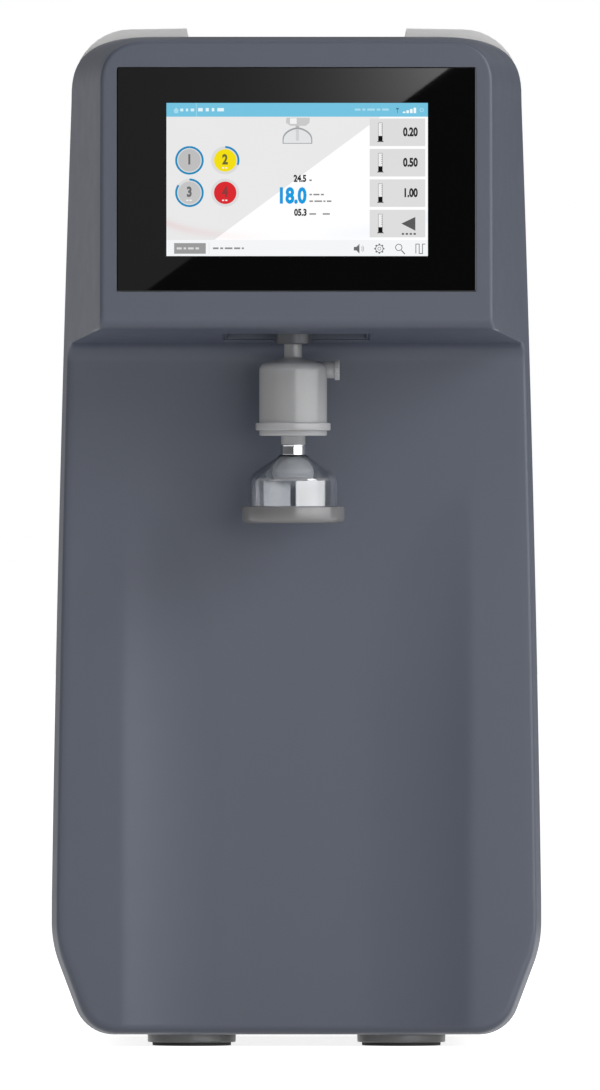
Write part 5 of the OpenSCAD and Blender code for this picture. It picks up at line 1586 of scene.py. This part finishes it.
@dataclass
class Electrics:
    """Boards with their components, power supply, flat cable and the power inlet.

    main_x and front_y are the component sides of the main board and of the control board.
    """

    kit: Kit
    wire_mm: float = 1.25
    main_x: float = -17.05
    front_y: float = -222.35

    def components(self) -> None:
        """Makes what stands on the two boards: chips, a row of terminals, chokes and capacitors."""
        chips = Piece("board_chips", CHIP, "cabinet", "black_plastic")
        cans = Piece("board_capacitors", CAN, "cabinet", "bright_steel")
        for low, y, z in (((-19.2, 120, 350), 136, 366), ((-18.6, 150, 352), 158, 372),
                          ((-19.0, 168, 330), 182, 344)):
            chips.slab(low, (self.main_x, y, z), 0.6, 0.25, Axis.X)
        for row in range(6):
            chips.slab((-24, 196, 232 + 12 * row), (self.main_x, 205, 242 + 12 * row), 0.8, 0.4, Axis.X)
            chips.slab((-66 + 14 * row, self.front_y, 468), (-58 + 14 * row, -220.6, 474), 0.5, 0.2)
        chips.slab((60, self.front_y, 500), (84, -220.4, 524), 0.8, 0.3)
        for y, z, r, height in ((128, 232, 6, 15), (145, 232, 6, 15), (196, 330, 4, 10), (196, 342, 4, 10)):
            can = rounded([(0, 0, 0), (r, 0, 0.3), (r, 1.4, 0.2), (r - 0.4, 1.8, 0.2), (r, 2.2, 0.2),
                           (r, height, 0.7), (0, height, 0)], 3)
            can[:, 1] = self.main_x - can[:, 1]
            cans.spin(can, (0, y, z), Axis.X, 32, False)
        small = rounded([(0, self.front_y, 0), (3.2, self.front_y, 0.3), (3.2, -216.6, 0.6),
                         (0, -216.6, 0)], 3)
        for x, z in ((-84, 530), (-84, 516), (84, 476)):
            cans.spin(small, (x, 0, z), Axis.Y, 32, False)
        chips.make()
        cans.make()

    def cable(self) -> None:
        """Makes the flat cable: a strip bent along its route, whose two sides swell over each wire.

        Half thickness across is 0.32 + 0.16 |cos(pi x / pitch)|, along the normal of the rounded route.
        """
        piece = self.kit.piece("insulated_flat_cable", "ribbon_cable")
        route = [(-216.4, 540, 0), (-210, 540, 2.5), (-206, 556, 4), (-194, 566, 8), (-115, 570, 20),
                 (90, 570, 10), (118, 562, 8), (129, 540, 10), (129, 398, 0)]
        bends = rounded(route).reshape(len(route), -1, 2)
        path = np.concatenate([bends[0, :1], bends[1:-1].reshape(-1, 2), bends[-1, :1]])
        along = unit(np.gradient(path, axis=0))
        normal = np.stack([-along[:, 1], along[:, 0]], axis=1)
        x = np.linspace(-37.9, -18.1, 129)
        half = 0.32 + 0.16 * np.abs(np.cos(math.pi * (x + 18.1) / self.wire_mm))
        across = np.concatenate([x, x[::-1]])
        off = np.concatenate([half, -half[::-1]])
        spot = path[:, None] + normal[:, None] * off[None, :, None]
        grid = np.stack([across + 0 * spot[..., 0], spot[..., 0], spot[..., 1]], axis=-1)
        piece.capped(grid)
        piece.make(crease=60)

    def build(self) -> None:
        """Makes components and cable, and refines boards, supply and inlet."""
        self.components()
        self.cable()
        self.kit.refined(
            ("control_board", "etched_control_board", 0.15), ("main_board", "etched_main_board", 0.15),
            ("power_supply", "folded_power_supply", 0.6), ("power_inlet", "moulded_power_inlet", 0.4),
            ("rocker_switch", "glossy_rocker", 0.6), ("fuse_drawer", "moulded_fuse_drawer", 0.3))


# ---- Tubing -------------------------------------------------------------


@dataclass
class Tubing:
    """Plastic tubes along the routes of the CAD model, their push-in collars and the rear connectors."""

    kit: Kit
    radius: float = 3.2
    groups: tuple[tuple[str, str, tuple[tuple[Spot, ...], ...]], ...] = (
        ("feed_tubes", "drawn_feed_tubes", (
            ((40, 205, 90), (40, 160, 90), (30, 60, 44), (24, -60, 40), (0, -93, 41), (-34, -93, 42),
             (-64, -88, 50), (-66, -84, 62), (-66, -68, 62)),
            ((-26, -40, 62), (-18, -40, 62), (-17, -38, 78), (-17, -34, 120), (-18, -34, 500),
             (-18, -34, 528), (-11, -34, 528)))),
        ("loop_tubes", "drawn_loop_tubes", (
            ((-11, -70, 528), (-20, -70, 528), (-21, -70, 504), (-20, -70, 480), (-29, -70, 480)),
            ((-62, -70, 126), (-62, -70, 110), (-62, -52, 104), (-62, -8, 108), (-62, 10, 120),
             (-62, 10, 141)),
            ((-62, 52, 190), (-62, 78, 190), (-58, 104, 150), (-40, 140, 112), (-6, 163, 106), (30, 172, 98),
             (60, 178, 92), (74, 190, 90), (74, 205, 90)))),
        ("dispense_tubes", "drawn_dispense_tubes", (
            ((-62, 10, 478), (-62, 10, 500), (-60, 4, 516), (-48, -2, 520), (-40, -6, 520), (-40, -14, 520)),
            ((-40, -68, 520), (-40, -72, 520), (-40, -76, 520)),
            ((-40, -114, 520), (-40, -132, 520), (-36, -150, 500), (-16, -156, 470), (-2, -147, 451),
             (-2, -158, 451)))))

    def smooth(self, route: tuple[Spot, ...]) -> Array:
        """Rounds a route as the CAD does.

        Each corner is the middle point of a parabola that runs between the points halfway to its neighbours.
        """
        spots = np.array(route, float)
        head = spots[0] + (spots[1] - spots[0]) * 0.4
        tail = spots[-1] + (spots[-2] - spots[-1]) * 0.4
        halfway = (spots[1:-2] + spots[2:-1]) / 2
        start = np.concatenate([head[None], halfway])[:, None]
        stop = np.concatenate([halfway, tail[None]])[:, None]
        s = np.linspace(0.03, 0.97, 12)[None, :, None]
        bend = start * (1 - s) ** 2 + spots[1:-1][:, None] * 2 * s * (1 - s) + stop * s**2
        return np.concatenate([spots[:1], head[None], bend.reshape(-1, 3), tail[None], spots[-1:]])

    def build(self) -> None:
        """Makes the tubes, a collar where they enter their fittings, and the rear connectors."""
        collars = Piece("push_in_collars", BLACK, "cabinet", "black_plastic")
        ring = rounded([(3.3, 0.1, 0), (4.7, 0.1, 0.4), (5.2, 1, 0.4), (5.2, 4.4, 0.7), (3.3, 4.4, 0.3)], 4)
        for node, name, routes in self.groups:
            piece = self.kit.piece(name, node)
            for route in routes:
                path = self.smooth(route)
                piece.tube(path, self.radius, 18)
                if np.linalg.norm(path[-1] - path[0]) > 30 and node != "feed_tubes":
                    collars.lathe(ring, path[0], path[1] - path[0], 32)
            piece.make()
        for at, way in (((-26, -40, 62), (1, 0, 0)), ((-66, -68, 62), (0, -1, 0)),
                        ((-11, -34, 528), (-1, 0, 0)), ((-29, -70, 480), (1, 0, 0)),
                        ((-62, 10, 141), (0, 0, -1))):
            collars.lathe(ring, np.array(at, float), np.array(way, float), 32)
        collars.make()
        profile = rounded([(3.25, 220, 0.2), (5.2, 220, 0.3), (5.2, 237.6, 0.3), (7.2, 237.6, 0.4),
                           (7.2, 240, 0.8), (3.25, 240, 0.6)], 4)
        for node, x in (("feed_collet", 40), ("drain_collet", 74)):
            self.kit.turned(node, "turned_" + node, profile, (x, 0, 90), Axis.Y, 64)
        self.kit.refined(("bulkhead_fittings", "turned_bulkhead_fittings", 0.6))


# ---- Studio -------------------------------------------------------------


@dataclass
class Studio:
    """Camera, lamps, floor and reflection cards. None of it belongs to the part."""

    picture: tuple[int, int] = (600, 1090)
    mm_per_px: float = 0.592
    centre: Pair = (2.07, 297.5)
    plane_y: float = -165.0
    distance: float = 15500.0
    ambient: float = 0.38
    tent_radius: float = 6.2
    tent_heights: tuple[float, float, float] = (0.0, 1.4, 15.0)
    cards: tuple[Pair, ...] = (
        (-180, 0.12), (-168, 0.2), (-158, 0.5), (-140, 0.5), (-110, 0.2), (-17, 0.16), (6, 0.12), (9, 5.5),
        (66, 5.5), (70, 4.4), (88, 4.4), (92, 0.15), (150, 0.1), (180, 0.1))
    upper: tuple[Pair, ...] = (
        (-180, 0.2), (-145, 0.3), (-90, 0.2), (0, 0.45), (70, 1.0), (110, 0.3), (150, 0.25), (180, 0.15))

    def camera(self) -> None:
        """Puts the camera square to the face, far away on a long lens, as the picture has it."""
        data = bpy.data.cameras.new("camera")
        data.sensor_width = 36.0
        data.lens = 36.0 * self.distance / (self.picture[1] * self.mm_per_px)
        data.clip_start, data.clip_end = 1.0, 60.0
        camera = put("camera", data)
        camera.location = (self.centre[0] * MM, (self.plane_y - self.distance) * MM, self.centre[1] * MM)
        camera.rotation_euler = (math.pi / 2, 0, 0)
        bpy.context.scene.camera = camera

    def lamp(self, name: str, at: Spot, size: Pair, watts: float, colour: str = "#ffffff") -> None:
        """Adds a soft rectangular lamp that faces the middle of the part.

        Args:
            name: Its name.
            at: Its place in metres.
            size: Width and height in metres.
            watts: Its power.
            colour: Its colour.
        """
        data = bpy.data.lights.new(name, "AREA")
        data.shape = "RECTANGLE"
        data.size, data.size_y = size
        data.energy = watts
        data.color = linear(colour)[:3]
        lamp = put(name, data)
        lamp.location = at
        lamp.rotation_euler = (Vector((0, -0.1, 0.3)) - Vector(at)).to_track_quat("-Z", "Y").to_euler()

    def shown(self, tree: Tree) -> Socket:
        """1 where something is seen directly, in gloss or through clear plastic; 0 where it only lights."""
        path = add_node(tree, "LightPath")
        seen = add_node(tree, "Math", {"operation": "MAXIMUM"},
                        {0: path.outputs["Is Camera Ray"], 1: path.outputs["Is Glossy Ray"]})
        return add_node(tree, "Math", {"operation": "MAXIMUM"},
                        {0: seen.outputs[0], 1: path.outputs["Is Transmission Ray"]}).outputs[0]

    def world(self) -> None:
        """White to the camera, to gloss and through clear plastic; a plain grey level as light."""
        world = bpy.data.worlds.new("studio")
        world.use_nodes = True
        tree = world.node_tree
        tree.nodes.clear()
        level = add_node(tree, "MapRange", {"To Min": self.ambient, "To Max": 1.0},
                         {"Value": self.shown(tree)})
        sky = add_node(tree, "Background", {"Color": (1, 1, 1, 1)}, {"Strength": level.outputs[0]})
        add_node(tree, "OutputWorld", links={"Surface": sky.outputs[0]})
        bpy.context.scene.world = world

    def floor(self) -> None:
        """Lays a pale matt floor that the camera sees as white except in the part's shadow."""
        mesh = bpy.data.meshes.new("floor")
        mesh.from_pydata([(-30, -14, 0), (30, -14, 0), (30, 46, 0), (-30, 46, 0)], [], [[0, 1, 2, 3]])
        floor = put("floor", mesh)
        material = blank_material("matt_white_floor")
        tree = material.node_tree
        lift = add_node(tree, "Math", {"operation": "MULTIPLY", 1: 0.82}, {0: self.shown(tree)})
        matt = add_node(tree, "BsdfDiffuse", {"Color": (0.78, 0.78, 0.78, 1)})
        glow = add_node(tree, "Emission", {"Color": (1, 1, 1, 1)}, {"Strength": lift.outputs[0]})
        both = add_node(tree, "AddShader", {}, {0: matt.outputs[0], 1: glow.outputs[0]})
        add_node(tree, "OutputMaterial", links={"Surface": both.outputs[0]})
        mesh.materials.append(material)

    def panel(self, name: str, grid: Array, levels: Array, through: bool = False) -> None:
        """Adds a glowing panel that only gloss shows, as a photographer hangs cards round a shiny thing.

        Args:
            name: Its name.
            grid: Points in metres, (rows, cols, 3).
            levels: Strength of each cell, where 1 is white, (rows - 1, cols - 1).
            through: Whether it also shows through clear plastic, as in the far wall of the bell.
        """
        mesh = bpy.data.meshes.new(name)
        mesh.from_pydata(grid.reshape(-1, 3).tolist(), [], grid_quads(*grid.shape[:2]).tolist())
        layer = mesh.color_attributes.new("level", "FLOAT_COLOR", "CORNER")
        layer.data.foreach_set("color", np.repeat(levels.ravel(), 16).astype(np.float32))
        material = blank_material(name)
        tree = material.node_tree
        level = add_node(tree, "VertexColor", {"layer_name": "level"})
        glow = add_node(tree, "Emission", {}, {"Color": level.outputs["Color"]})
        add_node(tree, "OutputMaterial", links={"Surface": glow.outputs[0]})
        mesh.materials.append(material)
        panel = put(name, mesh)
        panel.visible_camera = panel.visible_diffuse = panel.visible_shadow = False
        panel.visible_volume_scatter = False
        panel.visible_transmission = through

    def tent(self) -> None:
        """Hangs a tent in a wide circle: dim left and in front, with a long bright window low on the right.

        The level is a function of the angle round the part, from straight in front to the right, and runs
        straight from each of its steps to the next. Above the window the tent has a softer run of its own.
        A dimmer copy of the front part also shows through clear plastic.
        """
        turn = np.linspace(-180, 180, 181)
        middle = (turn[1:] + turn[:-1]) / 2
        low, high = (np.interp(middle, *np.array(steps).T) for steps in (self.cards, self.upper))
        a = np.radians(turn)
        foot = np.stack([self.tent_radius * np.sin(a), -self.tent_radius * np.cos(a), 0 * a], axis=1)
        rows = [foot + (0, 0, height) for height in self.tent_heights]
        self.panel("card_tent", np.stack(rows), np.stack([low, high]))
        front = (turn >= -100) & (turn <= 120)
        near = np.stack(rows[:2])[:, front] * (0.98, 0.98, 1)
        self.panel("card_front", near, 0.85 * low[None, front[:-1]][:, :-1], through=True)

    def glass_card(self) -> None:
        """Hangs the small card that the cover glass shows: light above a slant, fading away from its top.

        Its level is 0.33 + 2.6 exp(-(d / 73)^1.3) above the slant, with d in mm from the slant's top end,
        and next to nothing below it. The slant's two ends are where the glass mirrors them to the camera.
        """
        (low_x, low_z), (top_x, top_z), side, cells = (-123.5, 502.4), (122.4, 683.1), 165, 60
        z = np.linspace(494, 694, cells)[:, None]
        slant = low_x + (z - low_z) * (top_x - low_x) / (top_z - low_z)
        s = np.linspace(0, 1, cells)[None, :]
        left = -side + (slant + side) * s
        right = slant + (side - slant) * s[:, 1:]
        x = np.concatenate([left, right], axis=1)
        grid = np.stack([x, np.full_like(x, -6000), np.broadcast_to(z, x.shape)], axis=-1) * MM
        away = np.hypot(x - top_x, z - top_z)
        lit = np.arange(x.shape[1])[None, :] < cells - 1
        level = np.where(lit, 0.33 + 2.6 * np.exp(-((away / 73) ** 1.3)), 0.04)
        self.panel("glass_card", grid, level[:-1, :-1])

    def build(self) -> None:
        """Sets up the whole studio."""
        bpy.context.scene.view_settings.view_transform = "Standard"
        self.camera()
        self.world()
        self.floor()
        self.tent()
        self.glass_card()
        self.lamp("key", (2.6, -2.1, 1.9), (1.5, 1.5), 46)
        self.lamp("fill", (-2.4, -2.2, 1.2), (1.4, 2.0), 4, "#fff3e4")
        self.lamp("top", (0.0, 0.5, 3.0), (1.2, 1.2), 12)
        bpy.data.objects["fill"].visible_glossy = bpy.data.objects["top"].visible_glossy = False
        LOG.info("studio ready")


def main() -> None:
    """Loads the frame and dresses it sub-assembly by sub-assembly."""
    logging.basicConfig(level=logging.INFO, format="%(message)s")
    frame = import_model()
    Studio().build()
    for name, finish in NODE_FINISHES.items():
        mesh = frame["nodes"][name].data
        mesh.materials.clear()
        mesh.materials.append(finish.build())
    kit = Kit(frame["nodes"], {row["node"]: row["material_slot"] for row in frame["record"]["subparts"]})
    for part in (FrontShell, Screen, Nozzle, Feet, Cabinet, Purification, Drives, Electrics, Tubing):
        part(kit).build()
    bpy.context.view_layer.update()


if __name__ == "__main__":
    main()
